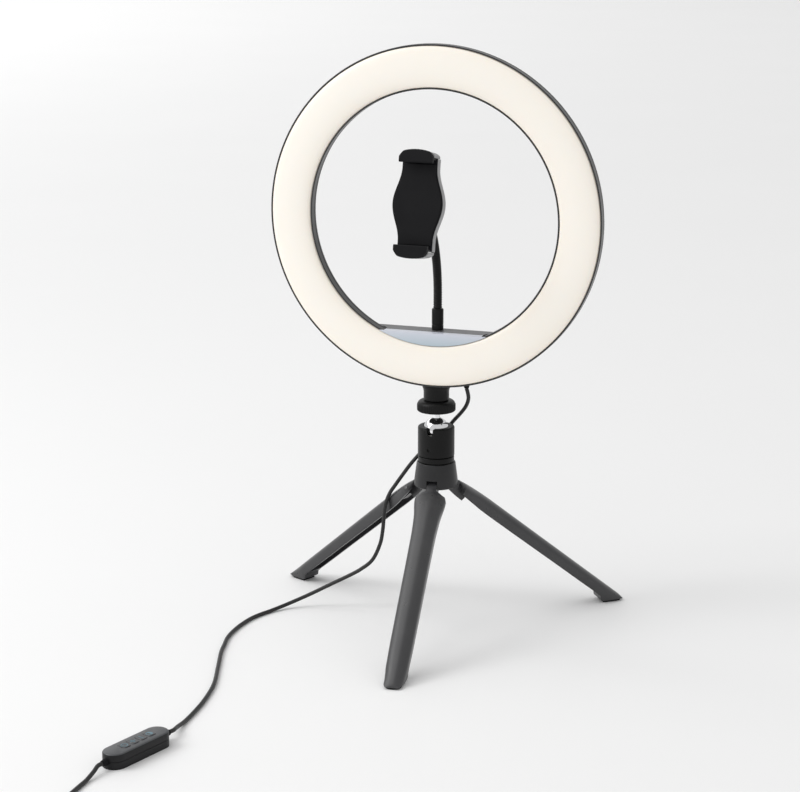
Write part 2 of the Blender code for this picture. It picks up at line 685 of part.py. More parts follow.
def shelf(parent):
    places = [SHELF_FRONT + (SHELF_BACK - SHELF_FRONT) * i / 4 for i in range(5)]
    rows = [(y, RING_MIDDLE - ring_half(y) - SHELF_CLEAR) for y in places]
    body = node("shelf", shelf_mesh("shelf", rows, 12), "black_plastic", parent)
    radius = RING_INNER - SHELF_CLEAR
    inner = segment(radius - SHELF_WALL, SHELF_TOP - SHELF_WALL, 0.0300, 8)
    pocket = prism("pocket", inner, SHELF_FRONT - 0.001, SHELF_BACK - SHELF_WALL, "XZ")
    combine(body, cutter("shelf_pocket", pocket, parent), "DIFFERENCE")
    hole = turned("shelf_hole", [(0, 0.2285), (0.0027, 0.2285), (0.0027, 0.2340), (0, 0.2340)], 16)
    combine(body, cutter("shelf_hole", hole, parent, (0, GOOSE_Y, 0)), "DIFFERENCE")
    flange, step = RING_INNER + RIM, RING_FRONT - GAP
    rows = ((PANEL_FRONT, flange), (step, flange), (step, radius), (SHELF_FRONT - GAP, radius))
    node("segment_panel", shelf_mesh("segment_panel", rows, 12), "panel", parent)
    nut = turned("gooseneck_nut", [(0.0031, 0.2268), (0.0046, 0.2268), (0.0046, 0.2304), (0.0031, 0.2304)],
                 6)
    node("gooseneck_nut", nut, "steel", parent, (0, GOOSE_Y, 0))
    ferrule = [(0, 0.2262), (0.0024, 0.2262), (0.0024, SHELF_TOP + GAP), (0.0045, SHELF_TOP + GAP),
               (0.0045, FERRULE_TOP - 0.0006), (0.0041, FERRULE_TOP), (0, FERRULE_TOP)]
    node("gooseneck_ferrule", turned("gooseneck_ferrule", ferrule, 20), "black_plastic", parent,
         (0, GOOSE_Y, 0))


def lead_gland(parent):
    shape = [(0, GLAND_BOTTOM), (0.0019, GLAND_BOTTOM), (0.0023, 0.1900), (0.0023, 0.1960), (0, 0.1960)]
    node("lead_gland", turned("lead_gland", shape, 16), "rubber", parent, (GLAND_X, GLAND_Y, 0))


# ---------------------------------------------------------------- gooseneck
def gooseneck_points():
    """Centre line: straight out of the ferrule, then one even bend towards the front."""
    points = [Vector((0, GOOSE_Y, FERRULE_TOP + GAP)), Vector((0, GOOSE_Y, (FERRULE_TOP + BEND_START) / 2))]
    steps = 14
    for i in range(steps + 1):
        turn = BEND_ANGLE * i / steps
        points.append(Vector((0, GOOSE_Y - BEND_RADIUS * (1 - math.cos(turn)),
                              BEND_START + BEND_RADIUS * math.sin(turn))))
    return points


def gooseneck(parent):
    """The flexible arm, and the tip with its small ball."""
    points = gooseneck_points()
    rings = []
    for i, p in enumerate(points):
        before, after = points[max(i - 1, 0)], points[min(i + 1, len(points) - 1)]
        way = (after - before).normalized()
        side = Vector((1, 0, 0))
        up = side.cross(way)
        rings.append([p + GOOSE_RADIUS * (side * math.cos(t) + up * math.sin(t))
                      for t in (2 * math.pi * k / 12 for k in range(12))])
    node("gooseneck", loft("gooseneck", rings), "black_plastic", parent)

    end = points[-1]
    lean = math.atan2(-(JOINT_BALL.y - end.y), JOINT_BALL.z - end.z)
    reach = (JOINT_BALL - end).length
    neck_root = math.sqrt(JOINT_BALL_RADIUS ** 2 - 0.0019 ** 2)
    ball = [(JOINT_BALL_RADIUS * math.cos(t), JOINT_BALL_RADIUS * math.sin(t))
            for t in (math.asin(-neck_root / JOINT_BALL_RADIUS)
                      + (math.pi / 2 - math.asin(-neck_root / JOINT_BALL_RADIUS)) * i / 9
                      for i in range(10))]
    ball[-1] = (0, JOINT_BALL_RADIUS)
    shape = [(0, -reach + GAP), (0.0036, -reach + GAP), (0.0039, -reach + 0.0008), (0.0039, -0.0100),
             (0.0034, -0.0095), (0.0019, -0.0095), *ball]
    node("gooseneck_tip", turned("gooseneck_tip", shape, 20), "chrome", parent, JOINT_BALL, (lean, 0, 0))


# ---------------------------------------------------------------- phone holder
def half_width(z):
    if abs(z) >= BULGE_SPAN:
        return HOLDER_HALF
    return HOLDER_HALF + (BULGE_HALF - HOLDER_HALF) * (0.5 + 0.5 * math.cos(math.pi * z / BULGE_SPAN))


def holder_outline(inset, end):
    heights = [-end, *[BULGE_SPAN * k / 8 for k in range(-8, 9)], end]
    right = [(half_width(z) - inset, z) for z in heights]
    return right + [(-x, z) for x, z in reversed(right)]


def bowed(name, outline, half, corner):
    """Extrude a jaw's outline across; its outer edge falls towards both rounded ends."""
    rings = []
    for step in (-1.0, -0.94, -0.85, -0.70, -0.40, 0.0, 0.40, 0.70, 0.85, 0.94, 1.0):
        drop = 0.0022 * step * step + corner * max(0.0, (abs(step) - 0.70) / 0.30) ** 2
        lift = [max(0.0, (z - 0.0344) / 0.0052) for _, z in outline]
        rings.append([(half * step, y, z - drop * k) for (y, z), k in zip(outline, lift)])
    return loft(name, rings)


def jaw(name, parent, tongue_end, turn=Matrix.Identity(4)):
    """A bar over the end of the shell, with a tongue that runs inside it."""
    outline = [(-0.0087, 0.0344), (-0.0087, 0.0388), (-0.0095, 0.0396), (-0.0235, 0.0396), (-0.0235, 0.0344)]
    arm = node(name, moved(bowed(name, outline, 0.0128, 0.0012), turn), "holder_plastic", parent)
    tongue = block("tongue", (-0.0068, -0.0139, tongue_end), (0.0068, -0.0107, 0.0360))
    combine(arm, cutter(name + "_tongue", moved(tongue, turn), parent), "UNION")


def holder(parent):
    """Phone holder about the small ball; its front faces local -Y."""
    frame = empty("holder_pivot", JOINT_BALL, (-HOLDER_LEAN, 0, 0), parent)
    nut = [(0.0073, -0.0060), (0.0086, -0.0060), (0.0089, -0.0056), (0.0089, 0.0026), (0.0083, 0.0032),
           (0.0053, 0.0032), (0.0043, 0.0019), (0.0047, 0.0012), (0.0073, 0.0012)]

    def grip(radius, height, k):
        return radius - 0.0004 * (k % 2) if radius > 0.0085 else radius

    node("holder_nut", turned("holder_nut", nut, 32, "Y", grip), "black_plastic", frame)

    outline = holder_outline(0.0, HOLDER_END)
    back = node("holder_back", prism("holder_back", outline, HOLDER_FACE + GAP, HOLDER_BACK, "XZ"),
                "holder_plastic", frame)
    pocket = prism("holder_pocket", holder_outline(0.0016, HOLDER_END - 0.0016), -0.020,
                   HOLDER_BACK - 0.0015, "XZ")
    combine(back, cutter("holder_pocket", pocket, frame), "DIFFERENCE")
    cavity = JOINT_BALL_RADIUS + GAP
    boss = [(0, -0.0090), (0.0069, -0.0090), (0.0069, 0.0008)]
    cup = [(cavity * math.cos(math.radians(t)), cavity * math.sin(math.radians(t)))
           for t in (9, -8, -25, -42, -58, -74)]
    boss += [*cup, (0, -cavity)]
    combine(back, cutter("holder_boss", turned("holder_boss", boss, 24, "Y"), frame), "UNION")
    slots = joined("tongue_slots", [
        block("upper_slot", (-0.0072, -0.0142, 0.0300), (0.0072, -0.0104, 0.0360)),
        block("lower_slot", (-0.0072, -0.0142, -0.0360), (0.0072, -0.0104, -0.0300)),
    ])
    combine(back, cutter("tongue_slots", slots, frame), "DIFFERENCE")

    face = prism("holder_face", outline, PAD_FACE + 0.0014 + GAP, HOLDER_FACE, "XZ")
    node("holder_face", face, "holder_plastic", frame)
    pad = prism("holder_pad", holder_outline(0.0006, 0.0298), PAD_FACE, PAD_FACE + 0.0014, "XZ")
    node("holder_pad", pad, "rubber", frame)

    over = Matrix.Rotation(math.pi, 4, "Y")
    jaw("sliding_jaw", frame, 0.0030)
    jaw("fixed_jaw", frame, 0.0312, over)
    lip = [(-0.0189, 0.0327), (-0.0189, 0.0341), (-0.0238, 0.0341), (-0.0238, 0.0396), (-0.0246, 0.0399),
           (-0.0268, 0.0399), (LIP_FACE, 0.0391), (LIP_FACE, 0.0310), (-0.0268, 0.0301),
           (-0.0248, 0.0301), (-0.0238, 0.0327)]
    node("upper_jaw_pad", bowed("upper_jaw_pad", lip, 0.0130, 0.0032), "rubber", frame)
    lower = bowed("lower_jaw_pad", lip, 0.0130, 0.0032)
    node("lower_jaw_pad", moved(lower, over), "rubber", frame)
    spring(frame)


def spring(parent):
    """Extension spring that pulls the sliding jaw shut."""
    low, high, turns, radius, wire, per_turn = -0.0290, 0.0024, 8, 0.0017, 0.00035, 6
    rings = []
    for i in range(turns * per_turn + 1):
        t = 2 * math.pi * i / per_turn
        rise = low + (high - low) * i / (turns * per_turn)
        out = Vector((math.cos(t), math.sin(t), 0))
        centre = out * radius + Vector((0, -0.0123, rise))
        rings.append([centre + out * wire * a + Vector((0, 0, wire * b))
                      for a, b in ((1, 0), (0, 1), (-1, 0), (0, -1))])
    node("jaw_spring", loft("jaw_spring", rings), "steel", parent)


# ---------------------------------------------------------------- remote, lead and plug
def remote(parent):
    frame = empty("remote_frame", REMOTE_CENTRE, (0, 0, REMOTE_TURN), parent)
    outer = stadium(REMOTE_LENGTH, REMOTE_WIDTH, 8)
    inner = stadium(REMOTE_LENGTH - 2 * REMOTE_WALL, REMOTE_WIDTH - 2 * REMOTE_WALL, 8)
    bottom = node("remote_bottom", prism("remote_bottom", outer, 0.0, REMOTE_SPLIT), "black_plastic", frame)
    tray = prism("tray", inner, REMOTE_WALL, REMOTE_HEIGHT)
    combine(bottom, cutter("remote_tray", tray, frame), "DIFFERENCE")
    top = node("remote_top", prism("remote_top", outer, REMOTE_SPLIT + GAP, REMOTE_HEIGHT), "black_plastic",
               frame)
    hollow = prism("hollow", inner, REMOTE_SPLIT, REMOTE_HEIGHT - REMOTE_WALL)
    combine(top, cutter("remote_hollow", hollow, frame), "DIFFERENCE")
    windows = []
    places = [(k - 1.5) * BUTTON_PITCH + 0.0010 for k in range(4)]
    for x in places:
        hole = prism("hole", rounded(0.0064, 0.0078, 0.0014), 0.0088, 0.0120)
        windows.append(moved(hole, Matrix.Translation((x, 0, 0))))
    combine(top, cutter("remote_windows", joined("remote_windows", windows), frame), "DIFFERENCE")
    ends = []
    for side in (-1, 1):
        bore = turned("bore", [(0, 0.0265), (0.0017, 0.0265), (0.0017, 0.0310), (0, 0.0310)], 12, "X")
        ends.append(moved(bore, Matrix.Rotation(math.pi if side < 0 else 0.0, 4, "Z")))
    sockets = moved(joined("remote_sockets", ends), Matrix.Translation((0, 0, LEAD_HEIGHT)))
    entry = cutter("remote_sockets", sockets, frame)
    combine(bottom, entry, "DIFFERENCE")
    combine(top, entry, "DIFFERENCE")
    board = prism("remote_board", rounded(0.0400, 0.0130, 0.0010, 2), 0.0058, 0.0068)
    node("remote_board", board, "board", frame)
    names = ("power", "brighter", "dimmer", "colour")
    for x, name in zip(places, names):
        key = prism("key", rounded(0.0058, 0.0072, 0.0012), 0.0078, REMOTE_HEIGHT + 0.0004)
        node(f"button_{name}", key, "button", frame, (x, 0, 0))
    boot = [(0, 0.0270), (0.0014, 0.0270), (0.0014, REMOTE_LENGTH / 2 + GAP),
            (0.0026, REMOTE_LENGTH / 2 + GAP), (0.0020, 0.0330), (0, 0.0330)]
    mesh = turned("boot", boot, 16, "X")
    node("boot_lamp_side", mesh, "rubber", frame, (0, 0, LEAD_HEIGHT))
    node("boot_plug_side", mesh, "rubber", frame, (0, 0, LEAD_HEIGHT), (0, 0, math.pi))


def remote_end(side, past):
    way = Vector((math.cos(REMOTE_TURN), math.sin(REMOTE_TURN), 0))
    return REMOTE_CENTRE + way * side * past + Vector((0, 0, LEAD_HEIGHT))


def leads(parent):
    """The free lead: three stretches over the head's joints, then remote to coil to plug."""
    lead_at_lamp = [
        (GLAND_X, GLAND_Y, GLAND_BOTTOM - GAP), (0.0246, 0.0018, 0.1848), (0.0250, 0.0026, 0.1808),
        (0.0240, 0.0042, 0.1768), (0.0216, 0.0066, 0.1722), (0.0186, 0.0087, 0.1681),
        (0.0156, 0.0107, 0.1646), (0.0122, 0.0130, 0.1609),
    ]
    lead_at_head = [
        (0.0119, 0.0132, 0.1606), (0.0082, 0.0156, 0.1564), (0.0048, 0.0172, 0.1520),
        (0.0008, 0.0179, 0.1474), (-0.0030, 0.0178, 0.1436), (-0.0070, 0.0166, 0.1400),
        (-0.0112, 0.0140, 0.1361),
    ]
    lead_to_remote = [
        (-0.0114, 0.0138, 0.1359), (-0.0136, 0.0118, 0.1336),
        (-0.0171, 0.0092, 0.1296), (-0.0232, 0.0072, 0.1219), (-0.0300, 0.0078, 0.1124),
        (-0.0363, 0.0086, 0.1033), (-0.0410, 0.0083, 0.0958), (-0.0436, 0.0060, 0.0870),
        (-0.0441, 0.0036, 0.0770), (-0.0445, 0.0020, 0.0672), (-0.0464, 0.0010, 0.0560),
        (-0.0525, 0.0002, 0.0425), (-0.0618, -0.0008, 0.0341), (-0.0715, -0.0019, 0.0280),
        (-0.0870, -0.0040, 0.0194), (-0.1000, -0.0066, 0.0122), (-0.1110, -0.0110, 0.0068),
        (-0.1206, -0.0190, 0.0031), (-0.1288, -0.0328, CORD_RADIUS), (-0.1348, -0.0480, CORD_RADIUS),
        (-0.1374, -0.0640, CORD_RADIUS), (-0.1380, -0.0800, CORD_RADIUS), (-0.1366, -0.0970, CORD_RADIUS),
        (-0.1328, -0.1130, CORD_RADIUS), (-0.1290, -0.1280, CORD_RADIUS),
        (-0.1196, -0.1560, CORD_RADIUS), (-0.1086, -0.1900, CORD_RADIUS),
        (-0.1030, -0.2200, CORD_RADIUS), (-0.1008, -0.2440, CORD_RADIUS),
        (-0.1000, -0.2620, 0.0018), (-0.0993, -0.2760, 0.0034), remote_end(1, 0.0380),
        remote_end(1, 0.0330 + GAP),
    ]
    start = COIL_CENTRE + Vector((-COIL_OUTER - CORD_RADIUS - GAP, 0.0040, CORD_RADIUS))
    lead_to_coil = [
        remote_end(-1, 0.0330 + GAP), remote_end(-1, 0.0370), (-0.1200, -0.3650, 0.0036),
        (-0.1206, -0.3760, CORD_RADIUS), (-0.1208, -0.3880, CORD_RADIUS), (-0.1208, -0.4020, CORD_RADIUS),
        (-0.1209, -0.4130, CORD_RADIUS), start,
    ]
    plug_way = Vector((math.cos(PLUG_TURN), math.sin(PLUG_TURN), 0))
    plug_back = PLUG_PLACE + Vector((0, 0, PLUG_Z)) - plug_way * (0.0020 + GAP)
    lead_to_plug = [
        COIL_CENTRE + Vector((0.0060, -0.0246, CORD_RADIUS)),
        COIL_CENTRE + Vector((0.0140, -0.0225, 0.0020)), COIL_CENTRE + Vector((0.0215, -0.0175, 0.0030)),
        plug_back - plug_way * 0.0080, plug_back,
    ]
    cord_tube("lead_at_lamp", lead_at_lamp, parent, 0.004)
    cord_tube("lead_at_head", lead_at_head, parent, 0.004)
    cord_tube("lead_to_remote", lead_to_remote, parent, 0.0075)
    cord_tube("lead_to_coil", lead_to_coil, parent, 0.0065)
    cord_tube("lead_to_plug", lead_to_plug, parent, 0.0040)


def coil(parent):
    """The spare lead, wound flat and tied."""
    shape = [(COIL_INNER, 0.0), (COIL_OUTER, 0.0), (COIL_OUTER, COIL_HEIGHT), (COIL_INNER, COIL_HEIGHT)]
    node("lead_coil", turned("lead_coil", shape, 32), "lead", parent, COIL_CENTRE)
    low, high = COIL_INNER - GAP, COIL_OUTER + GAP
    wall = 0.0008
    strap = block("coil_tie", (low - wall, -0.0020, GAP), (high + wall, 0.0020, COIL_HEIGHT + GAP + wall))
    tie = node("coil_tie", strap, "black_plastic", parent, COIL_CENTRE)
    hole = block("tie_hole", (low, -0.0030, -0.0010), (high, 0.0030, COIL_HEIGHT + GAP))
    combine(tie, cutter("tie_hole", hole, parent, COIL_CENTRE), "DIFFERENCE")


def plug(parent):
    frame = empty("plug_frame", PLUG_PLACE + Vector((0, 0, PLUG_Z)), (0, 0, PLUG_TURN), parent)

    def slab(length, width, height, radius):
        outline = rounded(width, height, radius)
        return [[(x, y, z) for y, z in outline] for x in length]

    body = loft("usb_overmould", slab((0.0020, 0.0215), 0.0158, 0.0080, 0.0018))
    tail = loft("usb_tail", slab((-0.0020, 0.0030), 0.0052, 0.0052, 0.0018))
    tongue = block("usb_tongue", (0.0200, -0.0053, -0.0001), (0.0392, 0.0053, 0.0015))
    overmould = node("usb_overmould", body, "rubber", frame)
    combine(overmould, cutter("usb_tail", tail, frame), "UNION")
    combine(overmould, cutter("usb_tongue", tongue, frame), "UNION")
    shell = loft("usb_shell", slab((0.0215 + GAP, 0.0400), 0.0120, 0.0045, 0.0004))
    sleeve = node("usb_shell", shell, "steel", frame)
    mouth = block("usb_mouth", (0.0200, -0.0056, -0.0018), (0.0410, 0.0056, 0.0018))
    combine(sleeve, cutter("usb_mouth", mouth, frame), "DIFFERENCE")


def main():
    clear_scene()
    axis = empty("tripod_axis", (AXIS_X, AXIS_Y, 0))
    crown(axis)
    legs(axis)
    ball_head(axis)
    neck(axis)
    front_frame(axis)
    back_cover(axis)
    diffuser(axis)
    led_board(axis)
    shelf(axis)
    lead_gland(axis)
    gooseneck(axis)
    holder(axis)
    remote(axis)
    leads(axis)
    coil(axis)
    plug(axis)


main()
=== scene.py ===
from math import asin, atan2, cos, pi, radians, sin, sqrt

import bmesh
import bpy
from mathutils import Matrix, Vector


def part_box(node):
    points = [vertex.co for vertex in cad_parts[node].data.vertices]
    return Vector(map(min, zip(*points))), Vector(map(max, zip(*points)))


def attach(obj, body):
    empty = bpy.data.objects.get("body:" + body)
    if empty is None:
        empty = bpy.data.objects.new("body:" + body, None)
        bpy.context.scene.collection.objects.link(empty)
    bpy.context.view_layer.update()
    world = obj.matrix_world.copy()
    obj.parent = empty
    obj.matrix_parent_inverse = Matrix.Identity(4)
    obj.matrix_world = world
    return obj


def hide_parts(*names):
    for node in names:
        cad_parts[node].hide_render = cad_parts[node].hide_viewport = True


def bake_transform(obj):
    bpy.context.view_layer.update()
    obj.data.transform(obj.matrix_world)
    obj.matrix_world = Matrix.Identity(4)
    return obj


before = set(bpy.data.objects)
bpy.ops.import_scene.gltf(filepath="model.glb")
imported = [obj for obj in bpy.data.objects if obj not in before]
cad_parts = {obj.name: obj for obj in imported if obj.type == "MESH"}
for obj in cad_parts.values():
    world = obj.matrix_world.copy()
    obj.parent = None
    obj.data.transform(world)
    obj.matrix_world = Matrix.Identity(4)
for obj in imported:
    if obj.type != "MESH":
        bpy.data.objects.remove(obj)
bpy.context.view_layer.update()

# Places are written about the tripod's own axis, with the floor at z = 0. AXIS is where that axis
# stands in the shared frame, read from the ball on it.
GAP = 0.0003
ball_low, ball_high = (Vector(corner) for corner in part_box("ball_stud"))
AXIS = Vector(((ball_low.x + ball_high.x) / 2, (ball_low.y + ball_high.y) / 2, 0.0))

# ring lamp
RING_HEIGHT, RING_OUTER, RING_INNER = 0.32, 0.13, 0.0967
RING_MIDDLE = (RING_OUTER + RING_INNER) / 2
RING_FRONT, RING_BACK, FRAME_BACK = -0.011, 0.0092, -0.005
RIM, WEB_FRONT = 0.001, -0.0062
DIFFUSER_CREST = -0.014
RING_STEPS = 180
SCREWS = (("top", 90), ("left", 210), ("right", 330))
GLAND_X, GLAND_Y, GLAND_BOTTOM = 0.0237, 0.0016, 0.1883
SHELF_TOP, SHELF_CLEAR, SHELF_WALL = 0.2322, 0.0005, 0.0015
PANEL_FRONT, SHELF_FRONT, SHELF_BACK = -0.0119, -0.0058, 0.0082

# tripod
LEG_AZIMUTH, LEG_NAMES = 5.9, ("front", "right", "left")
LEG_SLOPE = radians(38.8)
HINGE_RADIUS, HINGE_HEIGHT, KNUCKLE = 0.01, 0.1115, 0.0046
TAB_HALF, SLOT_HALF = 0.0038, 0.00415
CROWN_BOTTOM, CROWN_TOP, CROWN_RADIUS, CROWN_NECK = 0.1095, 0.1286, 0.01695, 0.015
SHELL_WALL, FOOT_CLEAR, FOOT_RADIUS = 0.0017, 0.0015, 0.148

# ball head
BALL_Z, BALL_RADIUS = 0.1539, 0.01
SLEEVE_BOTTOM, SLEEVE_TOP, SLEEVE_RADIUS, SLEEVE_BORE = 0.134, 0.157, 0.0142, 0.0113
HEAD_AZIMUTH = radians(-6.7)
NOTCH_HALF, NOTCH_Z, GRUB_Z = 0.0032, 0.1542, 0.1405
STEM_RADIUS, STUD_RADIUS, STUD_TOP = 0.0029, 0.0031, 0.186
COLLAR_BOTTOM, COLLAR_TOP, COLLAR_RADIUS = 0.1689, 0.1776, 0.0149
NECK_BOTTOM, NECK_TOP, NECK_RADIUS, NECK_FLARE = 0.178, 0.1935, 0.00985, 0.01075

# gooseneck and phone holder
GOOSE_Y, FERRULE_TOP, BEND_START = 0.0025, 0.2487, 0.2603
BEND_RADIUS, BEND_ANGLE, GOOSE_RADIUS = 0.0905, radians(43.0), 0.0034
JOINT_BALL, JOINT_BALL_RADIUS = Vector((0.0, -0.0322, 0.3332)), 0.0045
HOLDER_LEAN = radians(12.0)
HOLDER_HALF, BULGE_HALF, BULGE_SPAN, HOLDER_END = 0.0134, 0.0193, 0.027, 0.034
HOLDER_BACK, HOLDER_FACE, PAD_FACE, PAD_THICKNESS = -0.0085, -0.0157, -0.0185, 0.0014
JAW_LOW, JAW_HIGH = 0.0344, 0.0396

# lead, remote and plug
CORD_RADIUS, CORD_LIFT = 0.0015, 0.0001
REMOTE_CENTRE, REMOTE_TURN = Vector((-0.1088, -0.3224, 0.0)), radians(72.5)
REMOTE_LENGTH, REMOTE_WIDTH, REMOTE_HEIGHT = 0.058, 0.017, 0.0108
REMOTE_SPLIT, REMOTE_WALL, BUTTON_PITCH, LEAD_HEIGHT = 0.0052, 0.0013, 0.0082, 0.0054
COIL_CENTRE = Vector((-0.0992, -0.431, 0.0))
COIL_INNER, COIL_OUTER, COIL_HEIGHT = 0.0108, 0.0231, 0.0092
COIL_PITCH, COIL_LAYERS, COIL_TURNS = 0.00305, 3, 4
KEY_TOP, SIGN_HEIGHT, SIGN_SCALE = 0.0112, 0.00012, 1.4
PLUG_PLACE, PLUG_TURN, PLUG_Z = Vector((-0.06, -0.4385, 0.0)), radians(-14.0), 0.0043

# finishes, in features per metre and in metres
CLOUD_SCALE, RUB_SCALE, GRAIN_HEIGHT, LINE_HEIGHT = 45, 140, 0.0001, 0.00005
SHARP_ANGLE = 32

# camera and light
CAMERA_PLACE, CAMERA_LENS = Vector((0.505, -1.603, 0.605)), 101.39
CAMERA_DOWN, CAMERA_TURN = radians(14.18), radians(18.44)
GLOW = 0.12
WORLD_LIGHT, SUN_LIGHT, SUN_SPREAD = 0.67, 0.7, radians(50)
KEY_LIGHT, SWEEP_LIGHT = 10, 75


# ---- materials
def new_material(name):
    made = bpy.data.materials.new(name)
    made.use_nodes = True
    tree = made.node_tree
    shader = tree.nodes["Principled BSDF"]
    return made, tree, shader


def texture(tree, scale, detail=2.0, stretch=(1, 1, 1)):
    """A noise in object space, in features per metre."""
    where = tree.nodes.new("ShaderNodeTexCoord")
    mapping = tree.nodes.new("ShaderNodeMapping")
    mapping.inputs["Scale"].default_value = stretch
    node = tree.nodes.new("ShaderNodeTexNoise")
    node.inputs["Scale"].default_value = scale
    node.inputs["Detail"].default_value = detail
    tree.links.new(where.outputs["Object"], mapping.inputs["Vector"])
    tree.links.new(mapping.outputs["Vector"], node.inputs["Vector"])
    return node.outputs[0]


def remap(tree, value, low, high):
    node = tree.nodes.new("ShaderNodeMapRange")
    node.inputs["To Min"].default_value = low
    node.inputs["To Max"].default_value = high
    tree.links.new(value, node.inputs["Value"])
    return node.outputs["Result"]


def along(tree, axis, start, end):
    """How far the surface is from start to end along an axis of its object, 0 to 1."""
    where = tree.nodes.new("ShaderNodeTexCoord")
    split = tree.nodes.new("ShaderNodeSeparateXYZ")
    tree.links.new(where.outputs["Object"], split.inputs["Vector"])
    node = tree.nodes.new("ShaderNodeMapRange")
    node.inputs["From Min"].default_value = start
    node.inputs["From Max"].default_value = end
    tree.links.new(split.outputs[axis], node.inputs["Value"])
    return node.outputs["Result"]


def mix(tree, factor, low, high):
    node = tree.nodes.new("ShaderNodeMix")
    node.data_type = "RGBA"
    node.inputs["A"].default_value = (*low, 1.0)
    node.inputs["B"].default_value = (*high, 1.0)
    tree.links.new(factor, node.inputs["Factor"])
    return node.outputs["Result"]


def bump(tree, shader, height, strength, distance):
    node = tree.nodes.new("ShaderNodeBump")
    node.inputs["Strength"].default_value = strength
    node.inputs["Distance"].default_value = distance
    tree.links.new(height, node.inputs["Height"])
    tree.links.new(node.outputs["Normal"], shader.inputs["Normal"])


def moulded(name, dark, light, roughness, grain=2600, depth=0.25, shine=0.5):
    """Moulded or turned stock: fine grain, cloudy colour, and patches handled smoother."""
    made, tree, shader = new_material(name)
    cloud = texture(tree, CLOUD_SCALE, 3)
    colour = mix(tree, cloud, dark, light)
    tree.links.new(colour, shader.inputs["Base Color"])
    rub = texture(tree, RUB_SCALE, 4)
    tree.links.new(remap(tree, rub, roughness - 0.07, roughness + 0.07), shader.inputs["Roughness"])
    shader.inputs["Specular IOR Level"].default_value = shine
    bump(tree, shader, texture(tree, grain, 2), depth, GRAIN_HEIGHT)
    return made


def brushed(name, dark, light, roughness, stretch):
    """Turned or drawn metal, with fine lines along one way."""
    made, tree, shader = new_material(name)
    lines = texture(tree, 900, 3, stretch)
    tree.links.new(mix(tree, lines, dark, light), shader.inputs["Base Color"])
    tree.links.new(remap(tree, lines, roughness - 0.06, roughness + 0.08), shader.inputs["Roughness"])
    shader.inputs["Metallic"].default_value = 1.0
    bump(tree, shader, lines, 0.08, LINE_HEIGHT)
    return made


def panel_with_painted_highlight(name):
    """Blue grey satin panel with a painted highlight: paler along its top edge, bluer below."""
    made, tree, shader = new_material(name)
    # painted highlight: the colour pales towards the panel's top edge
    rise = along(tree, "Z", SHELF_TOP - 0.009, SHELF_TOP)
    base = mix(tree, rise, (0.47, 0.56, 0.62), (0.64, 0.665, 0.74))
    tree.links.new(base, shader.inputs["Base Color"])
    rub = texture(tree, RUB_SCALE, 4)
    tree.links.new(remap(tree, rub, 0.26, 0.34), shader.inputs["Roughness"])
    bump(tree, shader, texture(tree, 2600, 2), 0.05, LINE_HEIGHT)
    return made


def glow_with_painted_dome_shading(name):
    """Milky dome over warm LEDs, glowing faintly; painted light and shade make it bright where it bulges
    and creamier towards its walls, in both base and glow colour.
    """
    made, tree, shader = new_material(name)
    # painted light and shade: brighter towards the dome's crest, darker and creamier towards its walls
    depth = along(tree, "Y", AXIS.y - 0.01, AXIS.y + DIFFUSER_CREST)
    cloud = texture(tree, 22, 2)
    base = mix(tree, depth, (0.84, 0.78, 0.69), (0.89, 0.85, 0.785))
    tree.links.new(base, shader.inputs["Base Color"])
    # the glow colour carries the same painted crest highlight and wall shade
    glow = mix(tree, depth, (1.0, 0.88, 0.74), (1.0, 0.94, 0.84))
    tree.links.new(glow, shader.inputs["Emission Color"])
    shader.inputs["Emission Strength"].default_value = GLOW
    tree.links.new(remap(tree, cloud, 0.3, 0.42), shader.inputs["Roughness"])
    shader.inputs["Subsurface Weight"].default_value = 0.15
    shader.inputs["Subsurface Radius"].default_value = (0.004, 0.003, 0.002)
    return made


BLACK = moulded("satin black plastic", (0.005, 0.005, 0.005), (0.01, 0.01, 0.01), 0.36, shine=0.16)
CROWN_BLACK = moulded("dark grey crown plastic", (0.016, 0.016, 0.017), (0.026, 0.026, 0.027), 0.34,
                      shine=0.3)
RING_BLACK = moulded("smooth black plastic", (0.02, 0.02, 0.021), (0.03, 0.03, 0.032), 0.3, 3200, 0.1)
LEG = moulded("dark grey leg plastic", (0.024, 0.024, 0.026), (0.042, 0.042, 0.044), 0.3, 2200, 0.28,
              0.6)
HOLDER = moulded("grey holder plastic", (0.23, 0.23, 0.235), (0.28, 0.28, 0.285), 0.38, 2600, 0.2)
HOLDER_DARK = moulded("black holder plastic", (0.005, 0.005, 0.007), (0.008, 0.008, 0.01), 0.45, 2400,
                      0.3, 0.14)
RUBBER = moulded("black rubber", (0.005, 0.005, 0.006), (0.01, 0.01, 0.011), 0.62, 1800, 0.45, 0.14)
JACKET = moulded("black cord jacket", (0.012, 0.012, 0.013), (0.02, 0.02, 0.02), 0.48, 1500, 0.25, 0.4)
PANEL = panel_with_painted_highlight("pale blue grey panel")
SHELF_GREY = moulded("dark grey shelf plastic", (0.1, 0.1, 0.105), (0.13, 0.13, 0.135), 0.36, 2600,
                     0.1)
BOARD = moulded("white circuit board", (0.7, 0.71, 0.69), (0.78, 0.79, 0.77), 0.45, 900, 0.2)
NYLON = moulded("natural nylon", (0.6, 0.585, 0.54), (0.68, 0.665, 0.62), 0.5, 1500, 0.2)
KEY = moulded("dark key plastic", (0.034, 0.036, 0.04), (0.046, 0.049, 0.054), 0.36, 2600, 0.15)
PRINT = moulded("blue grey print", (0.1, 0.18, 0.22), (0.14, 0.23, 0.28), 0.5, 2600, 0.1)
REMOTE_TOP = moulded("remote top plastic", (0.042, 0.044, 0.048), (0.058, 0.061, 0.066), 0.34, 2400,
                     0.35)
